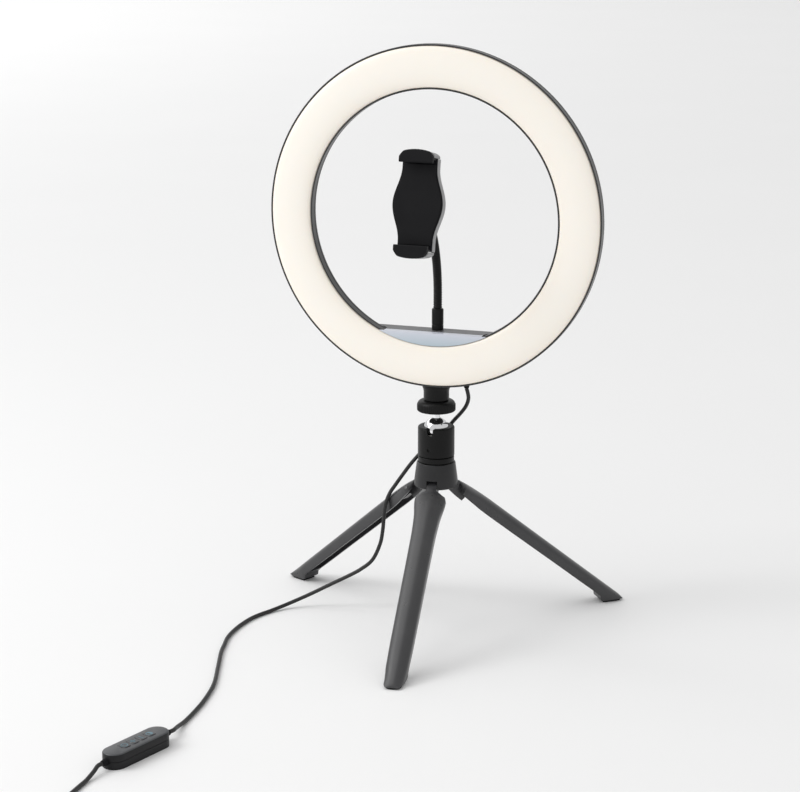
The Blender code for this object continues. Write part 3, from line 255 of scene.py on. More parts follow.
REMOTE_SIDE = moulded("remote case plastic", (0.012, 0.012, 0.013), (0.019, 0.019, 0.02), 0.4, 2400,
                      0.3, 0.2)
CHROME = brushed("chrome", (0.8, 0.8, 0.81), (0.9, 0.9, 0.91), 0.08, (1, 1, 1))
DARK_STEEL = brushed("blackened steel", (0.02, 0.02, 0.02), (0.05, 0.05, 0.05), 0.35, (1, 1, 6))
STEEL = brushed("plated steel", (0.42, 0.42, 0.43), (0.6, 0.6, 0.61), 0.3, (1, 1, 6))
BRASS = brushed("turned brass", (0.6, 0.43, 0.16), (0.76, 0.58, 0.26), 0.28, (1, 1, 8))
DIFFUSER = glow_with_painted_dome_shading("milky diffuser")


# ---- mesh builders
def smooth(mesh, angle=SHARP_ANGLE):
    mesh.shade_smooth()
    mesh.set_sharp_from_angle(angle=radians(angle))


def linked(name, data):
    made = bpy.data.objects.new(name, data)
    bpy.context.scene.collection.objects.link(made)
    return made


def closed_mesh(name, points, faces):
    mesh = bpy.data.meshes.new(name)
    mesh.from_pydata([tuple(p) for p in points], [], faces)
    work = bmesh.new()
    work.from_mesh(mesh)
    bmesh.ops.recalc_face_normals(work, faces=work.faces)
    work.to_mesh(mesh)
    work.free()
    smooth(mesh)
    return mesh


def loft(name, rings):
    """Skin equal rings of points, capped at both ends."""
    count = len(rings[0])
    points = [p for ring in rings for p in ring]
    faces = [
        (low + j, low + (j + 1) % count, low + count + (j + 1) % count, low + count + j)
        for low in range(0, (len(rings) - 1) * count, count)
        for j in range(count)
    ]
    faces.append(tuple(range(count)))
    faces.append(tuple((len(rings) - 1) * count + j for j in range(count)))
    return closed_mesh(name, points, faces)


def turned(name, profile, segments=96, axis="Z", modulate=None):
    """Turn a profile of (radius, height); it closes on the axis, or is a closed loop."""
    on_axis = profile[0][0] == 0 and profile[-1][0] == 0
    points, faces, rows = [], [], []
    for radius, height in profile:
        row = []
        for k in range(1 if radius == 0 else segments):
            angle = 2 * pi * k / segments
            r = modulate(radius, height, k) if modulate else radius
            row.append(len(points))
            points.append((r * cos(angle), r * sin(angle), height))
        rows.append(row)
    for i in range(len(rows) - 1 if on_axis else len(rows)):
        low, high = rows[i], rows[(i + 1) % len(rows)]
        for k in range(segments):
            m = (k + 1) % segments
            if len(low) == 1:
                faces.append((low[0], high[m], high[k]))
            elif len(high) == 1:
                faces.append((low[k], low[m], high[0]))
            else:
                faces.append((low[k], low[m], high[m], high[k]))
    if axis == "Y":
        points = [(x, z, -y) for x, y, z in points]
    if axis == "X":
        points = [(z, x, y) for x, y, z in points]
    return closed_mesh(name, points, faces)


def prism(name, outline, low, high, plane="XY"):
    order = {
        "XY": lambda u, v, w: (u, v, w),
        "XZ": lambda u, v, w: (u, w, v),
        "YZ": lambda u, v, w: (w, u, v),
    }[plane]
    return loft(name, [[order(u, v, w) for u, v in outline] for w in (low, high)])


def block(name, low, high):
    (x0, y0, z0), (x1, y1, z1) = low, high
    return prism(name, [(x0, y0), (x1, y0), (x1, y1), (x0, y1)], z0, z1)


def joined(name, meshes):
    work = bmesh.new()
    for mesh in meshes:
        work.from_mesh(mesh)
    made = bpy.data.meshes.new(name)
    work.to_mesh(made)
    work.free()
    smooth(made)
    return made


def moved(mesh, matrix):
    mesh.transform(matrix)
    return mesh


def ring_turned(name, profile):
    return moved(turned(name, profile, RING_STEPS, "Y"), shift(0, 0, RING_HEIGHT))


def turn_z(angle):
    return Matrix.Rotation(angle, 4, "Z")


def shift(*place):
    return Matrix.Translation(Vector(place) if len(place) == 3 else place[0])


def arc(centre, radius, start, end, steps):
    """Points on an arc, angles in degrees."""
    angles = [radians(start + (end - start) * i / steps) for i in range(steps + 1)]
    return [(centre[0] + radius * cos(a), centre[1] + radius * sin(a)) for a in angles]


def stadium(length, width, steps=16):
    radius, run = width / 2, (length - width) / 2
    return arc((run, 0), radius, -90, 90, steps) + arc((-run, 0), radius, 90, 270, steps)


def rounded(length, width, radius, steps=6):
    x, y = length / 2 - radius, width / 2 - radius
    corners = ((x, -y, -90), (x, y, 0), (-x, y, 90), (-x, -y, 180))
    return [p for cx, cy, start in corners for p in arc((cx, cy), radius, start, start + 90, steps)]


def carved(base, *steps):
    """The base mesh after union ("+") and difference ("-") with other meshes, in order."""
    target = linked("carved", base)
    helpers = []
    for sign, tool in steps:
        helper = linked("tool", tool)
        helpers.append(helper)
        change = target.modifiers.new("change", "BOOLEAN")
        change.operation = "UNION" if sign == "+" else "DIFFERENCE"
        change.solver = "EXACT"
        change.object = helper
    bpy.context.view_layer.update()
    graph = bpy.context.evaluated_depsgraph_get()
    mesh = bpy.data.meshes.new_from_object(target.evaluated_get(graph))
    for thing in [target, *helpers]:
        bpy.data.objects.remove(thing, do_unlink=True)
    mesh.materials.clear()
    smooth(mesh)
    return mesh


def place_piece(name, mesh, finish, edge=0.0, edge_steps=2, extra=()):
    """A visible piece whose mesh is written about the tripod's axis."""
    mesh.transform(shift(AXIS))
    piece = linked(name, mesh)
    for one in (finish, *extra):
        mesh.materials.append(one)
    if edge:
        bevel = piece.modifiers.new("edge", "BEVEL")
        bevel.width = edge
        bevel.segments = edge_steps
        bevel.limit_method = "ANGLE"
        bevel.angle_limit = radians(SHARP_ANGLE)
        bevel.use_clamp_overlap = True
    return piece


def show(name, mesh, finish, body, node, edge=0.0, edge_steps=2, extra=()):
    """A piece that rides on a body and stands for a CAD node."""
    piece = place_piece(name, mesh, finish, edge, edge_steps, extra)
    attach(piece, body)
    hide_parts(node)
    return piece


# ---- camera
def camera():
    data = bpy.data.cameras.new("camera")
    data.sensor_width = 36.0
    data.lens = CAMERA_LENS
    data.clip_end = 60.0
    made = linked("camera", data)
    made.location = AXIS + CAMERA_PLACE
    made.rotation_euler = (pi / 2 - CAMERA_DOWN, 0.0, CAMERA_TURN)
    bpy.context.scene.camera = made


# ---- cords
def smooth_route(points, spacing):
    """A smooth curve through the points (Catmull-Rom), one point per spacing."""
    knots = [Vector(p) for p in points]
    knots = [2 * knots[0] - knots[1], *knots, 2 * knots[-1] - knots[-2]]
    fine = []
    for i in range(1, len(knots) - 2):
        a, b, c, d = knots[i - 1:i + 3]
        for k in range(24):
            t = k / 24
            fine.append(
                0.5 * (2 * b + (c - a) * t + (2 * a - 5 * b + 4 * c - d) * t * t
                       + (3 * b - a - 3 * c + d) * t ** 3)
            )
    fine.append(knots[-2])
    total = sum((q - p).length for p, q in zip(fine, fine[1:]))
    count = max(2, round(total / spacing))
    route, walked, target = [fine[0]], 0.0, total / count
    for p, q in zip(fine, fine[1:]):
        step = (q - p).length
        while walked + step >= target and len(route) < count:
            route.append(p.lerp(q, (target - walked) / step))
            target += total / count
        walked += step
    route.append(fine[-1])
    return route


def tube(name, route, radius, segments=16):
    """A round tube along a route, its rings carried without twist."""
    rings, side = [], None
    for i, point in enumerate(route):
        way = (route[min(i + 1, len(route) - 1)] - route[max(i - 1, 0)]).normalized()
        if side is None:
            side = way.orthogonal().normalized()
        side = (side - way * side.dot(way)).normalized()
        other = way.cross(side)
        r = radius(i) if callable(radius) else radius
        turns = [2 * pi * k / segments for k in range(segments)]
        rings.append([point + r * (side * cos(t) + other * sin(t)) for t in turns])
    return loft(name, rings)


def remote_end(side, past):
    way = Vector((cos(REMOTE_TURN), sin(REMOTE_TURN), 0))
    return REMOTE_CENTRE + way * side * past + Vector((0, 0, LEAD_HEIGHT))


def cord_piece(name, points, spacing=0.002):
    route = smooth_route(points, spacing)
    for point in route:
        point.z = max(point.z, CORD_RADIUS + CORD_LIFT)
    piece = place_piece(name, tube(name, route, CORD_RADIUS), JACKET)
    return piece, [point + AXIS for point in route]


LEAD_AT_LAMP = (
    (GLAND_X, GLAND_Y, GLAND_BOTTOM - GAP), (0.0246, 0.0018, 0.1848), (0.025, 0.0026, 0.1808),
    (0.024, 0.0042, 0.1768), (0.0216, 0.0066, 0.1722), (0.0186, 0.0087, 0.1681),
    (0.0156, 0.0107, 0.1646), (0.0122, 0.013, 0.1609),
)
LEAD_AT_HEAD = (
    (0.0119, 0.0132, 0.1606), (0.0082, 0.0156, 0.1564), (0.0048, 0.0172, 0.152),
    (0.0008, 0.0179, 0.1474), (-0.003, 0.0178, 0.1436), (-0.007, 0.0166, 0.14),
    (-0.0112, 0.014, 0.1361),
)
LEAD_TO_REMOTE = (
    (-0.0114, 0.0138, 0.1359), (-0.0136, 0.0118, 0.1336),
    (-0.0171, 0.0092, 0.1296), (-0.0232, 0.0072, 0.1219), (-0.03, 0.0078, 0.1124),
    (-0.0363, 0.0086, 0.1033), (-0.041, 0.0083, 0.0958), (-0.0436, 0.006, 0.087),
    (-0.0441, 0.0036, 0.077), (-0.0445, 0.002, 0.0672), (-0.0464, 0.001, 0.056),
    (-0.0525, 0.0002, 0.0425), (-0.0618, -0.0008, 0.0341), (-0.0715, -0.0019, 0.028),
    (-0.087, -0.004, 0.0194), (-0.1, -0.0066, 0.0122), (-0.111, -0.011, 0.0068),
    (-0.1206, -0.019, 0.0031), (-0.1288, -0.0328, CORD_RADIUS), (-0.1348, -0.048, CORD_RADIUS),
    (-0.1374, -0.064, CORD_RADIUS), (-0.138, -0.08, CORD_RADIUS), (-0.1366, -0.097, CORD_RADIUS),
    (-0.1328, -0.113, CORD_RADIUS), (-0.129, -0.128, CORD_RADIUS),
    (-0.1196, -0.156, CORD_RADIUS), (-0.1086, -0.19, CORD_RADIUS),
    (-0.103, -0.22, CORD_RADIUS), (-0.1008, -0.244, CORD_RADIUS),
    (-0.1, -0.262, 0.0018), (-0.0993, -0.276, 0.0034), remote_end(1, 0.038),
    remote_end(1, 0.033 + GAP),
)
LEAD_TO_COIL = (
    remote_end(-1, 0.033 + GAP), remote_end(-1, 0.037), (-0.12, -0.365, 0.0036),
    (-0.1206, -0.376, CORD_RADIUS), (-0.1208, -0.388, CORD_RADIUS), (-0.1208, -0.402, CORD_RADIUS),
    (-0.1208, -0.416, CORD_RADIUS),
)


def coil_route():
    """Layers of turns wound inwards and outwards, then over the top and down to the plug."""
    per_turn, climb = 20, 0.07
    outer = COIL_OUTER - CORD_RADIUS - 0.00005
    inner = outer - COIL_PITCH * (COIL_TURNS - 1)
    route = [Vector(p) for p in LEAD_TO_COIL]
    angle = pi
    for layer in range(COIL_LAYERS):
        begin, end = (outer, inner) if layer % 2 == 0 else (inner, outer)
        steps = COIL_TURNS * per_turn
        for i in range(steps):
            share = i / steps
            ramp = min(1.0, max(0.0, (share - 1 + climb) / climb)) if layer < COIL_LAYERS - 1 else 0.0
            radius = begin + (end - begin) * min(1.0, share * COIL_TURNS / (COIL_TURNS - 0.9))
            height = CORD_RADIUS + CORD_LIFT + COIL_PITCH * (layer + ramp)
            place = (radius * cos(angle), radius * sin(angle), height)
            route.append(COIL_CENTRE + Vector(place))
            angle += 2 * pi / per_turn
    top = CORD_RADIUS + COIL_PITCH * COIL_LAYERS + CORD_LIFT
    for place in ((-0.0118, -0.006, top - 0.0006), (-0.0095, -0.0125, top), (-0.0025, -0.019, top),
                  (0.005, -0.0228, 0.0092), (0.012, -0.0236, 0.0058), (0.02, -0.02, 0.004)):
        route.append(COIL_CENTRE + Vector(place))
    way = Vector((cos(PLUG_TURN), sin(PLUG_TURN), 0))
    back = PLUG_PLACE + Vector((0, 0, PLUG_Z)) - way * (0.002 + GAP)
    route.append(back - way * 0.008)
    route.append(back)
    return route


# ---- tripod
def crown():
    profile = [
        (0.0023, CROWN_BOTTOM), (CROWN_RADIUS - 0.0006, CROWN_BOTTOM),
        (CROWN_RADIUS, CROWN_BOTTOM + 0.0006), (CROWN_RADIUS, CROWN_BOTTOM + 0.0041),
        (CROWN_NECK + 0.0001, CROWN_TOP - 0.001), (CROWN_NECK - 0.0001, CROWN_TOP - 0.0004),
        (CROWN_NECK - 0.0007, CROWN_TOP), (0.0023, CROWN_TOP),
    ]
    cuts = []
    for k in range(len(LEG_NAMES)):
        turn = turn_z(radians(LEG_AZIMUTH + 120 * k - 90))
        slot = block("slot", (HINGE_RADIUS - 0.0051, -SLOT_HALF, 0.1),
                     (0.02, SLOT_HALF, HINGE_HEIGHT + KNUCKLE + 0.0004))
        cuts.append(("-", moved(slot, turn)))
    mesh = carved(turned("crown", profile, 120), *cuts)
    show("tripod_crown", mesh, CROWN_BLACK, "base", "crown", 0.0003)


def station_at(stations, a):
    """A row of the table at distance a, eased between the rows beside it."""
    for low, high in zip(stations, stations[1:]):
        if a <= high[0]:
            t = (a - low[0]) / (high[0] - low[0])
            return (a, *(p + (q - p) * t for p, q in zip(low[1:], high[1:])))
    return (a, *stations[-1][1:])


def leg_section(a, half, crest, edge, wall=None):
    """Cross-section of a leg at distance a from the hinge: an arched channel, or solid."""
    def arch(half_width, top, steps):
        side = max(edge + 0.0008, top - 0.005)
        corner = 0.0006
        return [(-half_width + corner * 0.4, edge), (-half_width, edge + corner)] + [
            (-half_width * cos(pi * i / steps),
             side + (top - side) * sin(pi * i / steps))
            for i in range(steps + 1)
        ] + [(half_width, edge + corner), (half_width - corner * 0.4, edge)]

    outline = arch(half, crest, 20)
    if wall:
        outline += reversed(arch(half - wall, max(crest - wall, edge + 0.0012), 14))
    else:
        outline += [((half - 0.001) * (9 - k) / 9, edge) for k in range(19)]
    return [(a, y, z) for y, z in outline]


def over_floor(a):
    return (a * sin(LEG_SLOPE) - HINGE_HEIGHT + FOOT_CLEAR) / cos(LEG_SLOPE)


def leg_mesh():
    """A leg along +X from its hinge, its upper face towards +Z."""
    table = (
        (0.0074, 0.0037, 0.0056, 0.0032), (0.0096, 0.0078, 0.0058, 0.0012),
        (0.0118, 0.0112, 0.0061, -0.0012), (0.0145, 0.0121, 0.0064, -0.0022),
        (0.019, 0.0118, 0.0068, -0.0024), (0.0235, 0.0111, 0.0071, -0.0027),
        (0.0285, 0.0102, 0.0074, -0.0031), (0.036, 0.0095, 0.0076, -0.0034),
        (0.048, 0.009, 0.0076, -0.0034), (0.075, 0.0088, 0.0076, -0.0032),
        (0.11, 0.0087, 0.0076, -0.0028), (0.145, 0.0086, 0.0076, -0.0025),
        (0.16, 0.0083, 0.0076, -0.0023),
    )
    places = [0.0074 + 0.00074 * i for i in range(22)] + [0.025 + 0.0045 * i for i in range(31)]
    rings = [leg_section(*station_at(table, a), SHELL_WALL) for a in places]
    foot_table = (
        (0.1603, 0.0083, 0.0076, -0.0023), (0.165, 0.0082, 0.0076, -0.0025),
        (0.1674, 0.008, 0.0076, -0.0048), (0.17, 0.0077, 0.0076, over_floor(0.17)),
        (0.176, 0.0073, 0.0076, over_floor(0.176)), (0.18, 0.0069, 0.0076, over_floor(0.18)),
        (0.182, 0.0062, 0.0074, over_floor(0.182)),
        (0.1832, 0.0054, 0.0071, over_floor(0.1832) - 0.0001),
        (0.1837, 0.005, 0.0069, over_floor(0.1837) - 0.0004),
    )
    shell = loft("leg_shell", rings + [leg_section(*row) for row in foot_table])
    outline = arc((0, 0), KNUCKLE, 90, 270, 20) + [
        (0.011, -0.0059), (0.0176, -0.0062), (0.0183, -0.0015), (0.03, -0.0015),
        (0.03, 0.0052), (0.02, 0.0059), (0.01, 0.0054),
    ]
    tab = prism("leg_tab", outline, -TAB_HALF, TAB_HALF, "XZ")
    return carved(shell, ("+", tab))


def legs():
    mesh = leg_mesh()
    pad_outline = [(-0.0078, -0.0064), (0.003, -0.006)] + arc((0.003, 0), 0.006, -60, 60, 10) + [
        (0.003, 0.006), (-0.0078, 0.0064)]
    for k, side in enumerate(LEG_NAMES):
        turn = turn_z(radians(LEG_AZIMUTH + 120 * k - 90))
        hinge = turn @ shift(HINGE_RADIUS, 0, HINGE_HEIGHT)
        body = side + "_leg"
        leg = moved(mesh.copy(), hinge @ Matrix.Rotation(LEG_SLOPE, 4, "Y"))
        show(f"tripod_leg_{side}", leg, LEG, body, f"leg_{side}", 0.0004)
        pad = prism("pad", pad_outline, 0.0, FOOT_CLEAR - GAP)
        show(f"rubber_foot_{side}", moved(pad, turn @ shift(FOOT_RADIUS, 0, 0)), RUBBER, body,
             f"foot_pad_{side}", 0.0003)


# ---- ball head
def ball_arc(radius, low, high, steps):
    """Profile points on a sphere about the ball's centre, between two heights."""
    first, last = (asin(max(-1.0, min(1.0, (z - BALL_Z) / radius))) for z in (low, high))
    angles = [first + (last - first) * i / steps for i in range(steps + 1)]
    return [(radius * cos(a), BALL_Z + radius * sin(a)) for a in angles]


def ball_head():
    base = [(0, 0.138), (0.0023, 0.138), (0.0023, 0.129), (0.0136, 0.129), (0.014, 0.1294),
            (0.014, 0.1331), (0.0136, 0.1335), (0.0109, 0.1335), (0.0109, 0.142), (0, 0.142)]
    show("head_base_ring", turned("head_base", base, 120), BLACK, "base", "head_base", 0.00025)

    lip = ball_arc(BALL_RADIUS + GAP + 0.00005, BALL_Z, SLEEVE_TOP, 6)
    shape = [(SLEEVE_BORE, SLEEVE_BOTTOM), (SLEEVE_BORE, 0.1516), (0.0106, 0.1526), *lip,
             *arc((SLEEVE_RADIUS - 0.0014, SLEEVE_TOP - 0.0014), 0.0014, 90, 0, 8),
             (SLEEVE_RADIUS, SLEEVE_BOTTOM + 0.0003), (SLEEVE_RADIUS - 0.0003, SLEEVE_BOTTOM)]
    outline = arc((0, NOTCH_Z), NOTCH_HALF, 180, 360, 24) + [(NOTCH_HALF, 0.162), (-NOTCH_HALF, 0.162)]
    notch = moved(prism("notch", outline, -0.02, -0.007, "XZ"), turn_z(HEAD_AZIMUTH))
    bore = turned("bore", [(0, -0.02), (0.0015, -0.02), (0.0015, -0.009), (0, -0.009)], 32, "Y")
    bore = moved(bore, shift(0, 0, GRUB_Z) @ turn_z(HEAD_AZIMUTH))
    mesh = carved(turned("sleeve", shape, 120), ("-", notch), ("-", bore))
    show("ball_sleeve", mesh, BLACK, "sleeve", "lock_sleeve", 0.0002)

    grub = turned("grub", [(0, -0.0134), (0.0012, -0.0134), (0.0012, -0.0115), (0, -0.0115)], 32, "Y")
    hexagon = turned("hexagon", [(0, -0.014), (0.0007, -0.014), (0.0007, -0.0124), (0, -0.0124)], 6, "Y")
    grub = moved(carved(grub, ("-", hexagon)), shift(0, 0, GRUB_Z) @ turn_z(HEAD_AZIMUTH))
    show("sleeve_grub_screw", grub, DARK_STEEL, "sleeve", "grub_screw")

    stem_foot = BALL_Z + sqrt(BALL_RADIUS ** 2 - STEM_RADIUS ** 2)
    ball = ball_arc(BALL_RADIUS, BALL_Z - BALL_RADIUS, stem_foot, 36)
    ball[0] = (0, ball[0][1])
    thread, z, rise = [], 0.1684, 0.0004
    while z < STUD_TOP - 0.001:
        thread += [(STUD_RADIUS - 0.0003, z), (STUD_RADIUS, z + rise)]
        z += 2 * rise
    stud = [*ball, (STEM_RADIUS, 0.168), *thread, (STUD_RADIUS - 0.0006, STUD_TOP), (0, STUD_TOP)]
    show("chrome_ball_stud", turned("ball_stud", stud, 96), CHROME, "head", "ball_stud")

    def knurl(radius, height, k):
        return radius - 0.00035 * (k % 4 > 1) if radius > 0.0145 else radius

    shape = [(0.0034, COLLAR_BOTTOM), (0.0132, COLLAR_BOTTOM), (0.0143, COLLAR_BOTTOM + 0.0003),
             (0.01452, COLLAR_BOTTOM + 0.0006), (COLLAR_RADIUS, COLLAR_BOTTOM + 0.0009),
             (COLLAR_RADIUS, 0.1743), (0.01448, 0.1751), (0.014, 0.1761), (0.0132, 0.1768),
             (0.0122, 0.1773), (0.0105, COLLAR_TOP), (0.0034, COLLAR_TOP)]
    show("knurled_collar", turned("lock_collar", shape, 240, modulate=knurl), BLACK, "collar",
         "lock_collar")


# ---- ring lamp
def ring_point(angle, radius, y):
    turn = radians(angle)
    return Vector((radius * cos(turn), y, RING_HEIGHT + radius * sin(turn)))


def ring_half(y):
    """Half the ring's width at y, which narrows over its round back."""
    start = FRAME_BACK + GAP
    depth = min(1.0, max(0.0, (y - start) / (RING_BACK - start)))
    return (RING_OUTER - RING_INNER) / 2 * sqrt(1 - depth * depth)


def under_ring(x, y):
    """Height just under the ring's outer wall, up to the rim of the neck's saddle."""
    reach = RING_MIDDLE + ring_half(y) + GAP
    return min(NECK_TOP, RING_HEIGHT - sqrt(reach * reach - x * x))


def neck():
    rows = [(0, 0.1876), (0.0052, 0.1876), (0.0052, NECK_BOTTOM), (NECK_RADIUS - 0.0004, NECK_BOTTOM),
            (NECK_RADIUS, NECK_BOTTOM + 0.0004), (NECK_RADIUS, 0.1845), (0.01, 0.1855), (0.0102, 0.1865),
            (0.0105, 0.1873), (NECK_FLARE, 0.1878)]
    lid = 0.19
    rows += [(radius, lid) for radius in (NECK_FLARE, 0.0085, 0.007, 0.0053, 0.0035, 0.0018, 0)]
    mesh = turned("neck", rows, 96)
    for point in mesh.vertices:
        if point.co.z > lid - 0.0001:
            point.co.z = under_ring(point.co.x, point.co.y)
    show("lamp_neck", mesh, BLACK, "lamp", "neck")


def front_frame():
    shape = [
        (RING_OUTER, RING_FRONT), (RING_OUTER - RIM, RING_FRONT), (RING_OUTER - RIM, WEB_FRONT),
        (RING_INNER + RIM, WEB_FRONT), (RING_INNER + RIM, RING_FRONT), (RING_INNER, RING_FRONT),
        (RING_INNER, FRAME_BACK), (RING_OUTER, FRAME_BACK),
    ]
    mesh = ring_turned("front_frame", shape)
    show("ring_front_frame", mesh, RING_BLACK, "lamp", "front_frame", 0.0002)


def back_profile(inset, steps):
    half, start = (RING_OUTER - RING_INNER) / 2 - inset, FRAME_BACK + GAP
    rise = RING_BACK - start - inset
    angles = [pi * i / steps for i in range(steps + 1)]
    return [(RING_MIDDLE + half * cos(a), start + rise * sin(a)) for a in angles]


def back_cover():
    shape = [*back_profile(0.0, 28), *reversed(back_profile(0.0015, 12))]
    mesh = ring_turned("back_cover", shape)
    cuts = []
    for _, angle in SCREWS:
        well = turned("well", [(0, 0.004), (0.0017, 0.004), (0.0017, 0.0084), (0.0031, 0.0084),
                               (0.0031, 0.012), (0, 0.012)], 32, "Y")
        cuts.append(("-", moved(well, shift(ring_point(angle, RING_MIDDLE, 0)))))
    hole = turned("hole", [(0, 0.185), (0.0026, 0.185), (0.0026, 0.199), (0, 0.199)], 32)
    cuts.append(("-", moved(hole, shift(GLAND_X, GLAND_Y, 0))))
    show("ring_back_cover", carved(mesh, *cuts), BLACK, "lamp", "back_cover")
    for side, angle in SCREWS:
        rows = [(0, -0.0015), (0.0012, -0.0015), (0.0012, 0.0087), (0.0028, 0.0087), (0.0028, 0.0092),
                (0.0024, 0.0098), (0.0014, 0.0101), (0, 0.0101)]
        screw = turned("screw", rows, 32, "Y")
        cross = [("-", block("bar", (-w, 0.0092, -h), (w, 0.011, h))) for w, h in
                 ((0.0016, 0.00028), (0.00028, 0.0016))]
        mesh = moved(carved(screw, *cross), shift(ring_point(angle, RING_MIDDLE, 0)))
        show(f"back_screw_{side}", mesh, STEEL, "lamp", f"cover_screw_{side}")


def diffuser():
    low, high = RING_INNER + RIM + 0.0004, RING_OUTER - RIM - 0.0004
    half, middle = (high - low) / 2, (high + low) / 2
    skirt, shoulder, wall = -0.008, -0.0104, 0.0012
    rise = DIFFUSER_CREST - shoulder

    def dome(inset, steps):
        width = half - inset
        angles = [pi * i / steps for i in range(steps + 1)]
        return [(middle + width * cos(a), shoulder + inset + rise * sin(a) ** 0.75)
                for a in angles]

    shape = [(high, skirt), *dome(0.0, 28), (low, skirt), (low + wall, skirt),
             *reversed(dome(wall, 8)), (high - wall, skirt)]
    mesh = ring_turned("diffuser", shape)
    show("milky_diffuser", mesh, DIFFUSER, "lamp", "diffuser")


def segment(radius, top, half, steps):
    """Outline in XZ between a flat top and the ring's inner circle."""
    floor = []
    for i in range(steps + 1):
        x = half - 2 * half * i / steps
        floor.append((x, RING_HEIGHT - sqrt(radius * radius - x * x)))
    return [(-half, top), (half, top), *floor]


def shelf_mesh(name, rows, steps):
    """Fill the bottom of the ring's opening through rows of (y, radius)."""
    sections = []
    for y, radius in rows:
        half = sqrt(radius ** 2 - (RING_HEIGHT - SHELF_TOP) ** 2) - SHELF_CLEAR
        sections.append([(x, y, z) for x, z in segment(radius, SHELF_TOP, half, steps)])
    return loft(name, sections)


def shelf():
    places = [SHELF_FRONT + (SHELF_BACK - SHELF_FRONT) * i / 12 for i in range(13)]
    tray = shelf_mesh("shelf", [(y, RING_MIDDLE - ring_half(y) - SHELF_CLEAR) for y in places], 40)
    radius = RING_INNER - SHELF_CLEAR
    inner = segment(radius - SHELF_WALL, SHELF_TOP - SHELF_WALL, 0.03, 24)
    pocket = prism("pocket", inner, SHELF_FRONT - 0.001, SHELF_BACK - SHELF_WALL, "XZ")
    hole = turned("hole", [(0, 0.2285), (0.0027, 0.2285), (0.0027, 0.234), (0, 0.234)], 32)
    mesh = carved(tray, ("-", pocket), ("-", moved(hole, shift(0, GOOSE_Y, 0))))
    show("lamp_shelf", mesh, SHELF_GREY, "lamp", "shelf", 0.0003)
    flange, step = RING_INNER + RIM, RING_FRONT - GAP
    rows = ((PANEL_FRONT, flange), (step, flange), (step, radius), (SHELF_FRONT - GAP, radius))
    show("pale_panel", shelf_mesh("panel", rows, 40), PANEL, "lamp", "segment_panel", 0.0002)
    ferrule = [(0, 0.2262), (0.0024, 0.2262), (0.0024, SHELF_TOP + GAP), (0.0045, SHELF_TOP + GAP),
               (0.0045, 0.236), (0.0043, 0.2363), (0.0043, 0.2367), (0.0045, 0.237),
               (0.0045, FERRULE_TOP - 0.0006), (0.0043, FERRULE_TOP - 0.0002), (0.0041, FERRULE_TOP),
               (0, FERRULE_TOP)]
    mesh = moved(turned("ferrule", ferrule, 64), shift(0, GOOSE_Y, 0))
    show("gooseneck_foot", mesh, BLACK, "lamp", "gooseneck_ferrule")
    gland = [(0, GLAND_BOTTOM), (0.0017, GLAND_BOTTOM), (0.0019, GLAND_BOTTOM + 0.0003), (0.0023, 0.19),
             (0.0023, 0.196), (0, 0.196)]
    show("lead_grommet", moved(turned("gland", gland, 32), shift(GLAND_X, GLAND_Y, 0)), RUBBER, "lamp",
         "lead_gland")


# ---- gooseneck
def gooseneck():
    """The ribbed flexible arm, which bends between the lamp and its own tip."""
    straight = BEND_START - FERRULE_TOP - GAP
    total = straight + BEND_RADIUS * BEND_ANGLE
    per_rib, ribs = 6, 42
    route = []
    for i in range(ribs * per_rib + 1):
        s = total * i / (ribs * per_rib)
        turn = max(0.0, s - straight) / BEND_RADIUS
        rise = min(s, straight)
        route.append(Vector((0, GOOSE_Y - BEND_RADIUS * (1 - cos(turn)),
                             FERRULE_TOP + GAP + rise + BEND_RADIUS * sin(turn))))

    def rib(i):
        return GOOSE_RADIUS - 0.00045 * (0.5 + 0.5 * cos(2 * pi * i / per_rib)) ** 2

    piece = place_piece("gooseneck_arm", tube("gooseneck", route, rib, 24), BLACK)
    smooth(piece.data, 60)
    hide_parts("gooseneck")
    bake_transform(piece)

    end = route[-1]
    lean = atan2(-(JOINT_BALL.y - end.y), JOINT_BALL.z - end.z)
    reach = (JOINT_BALL - end).length
    root = asin(-sqrt(JOINT_BALL_RADIUS ** 2 - 0.0019 ** 2) / JOINT_BALL_RADIUS)
    angles = [root + (pi / 2 - root) * i / 24 for i in range(25)]
    ball = [(JOINT_BALL_RADIUS * cos(a), JOINT_BALL_RADIUS * sin(a)) for a in angles]
    ball[-1] = (0, JOINT_BALL_RADIUS)
    shape = [(0, -reach + GAP), (0.0036, -reach + GAP), (0.0039, -reach + 0.0006), (0.0039, -0.01),
             (0.0036, -0.0096), (0.0034, -0.0095), (0.0019, -0.0095), *ball]
    mesh = moved(turned("tip", shape, 64), shift(JOINT_BALL) @ Matrix.Rotation(lean, 4, "X"))
    show("gooseneck_ball_tip", mesh, CHROME, "arm_tip", "gooseneck_tip")


# ---- phone holder
HOLDER_PLACE = shift(JOINT_BALL) @ Matrix.Rotation(-HOLDER_LEAN, 4, "X")


def half_width(z):
    if abs(z) >= BULGE_SPAN:
        return HOLDER_HALF
    return HOLDER_HALF + (BULGE_HALF - HOLDER_HALF) * (0.5 + 0.5 * cos(pi * z / BULGE_SPAN))


def holder_outline(inset, end, steps=26):
    heights = [-end, *[BULGE_SPAN * k / steps for k in range(-steps, steps + 1)], end]
    right = [(half_width(z) - inset, z) for z in heights]
    return right + [(-x, z) for x, z in reversed(right)]


def holder_show(name, mesh, finish, body, node, edge=0.0, edge_steps=2):
    show(name, moved(mesh, HOLDER_PLACE), finish, body, node, edge, edge_steps)


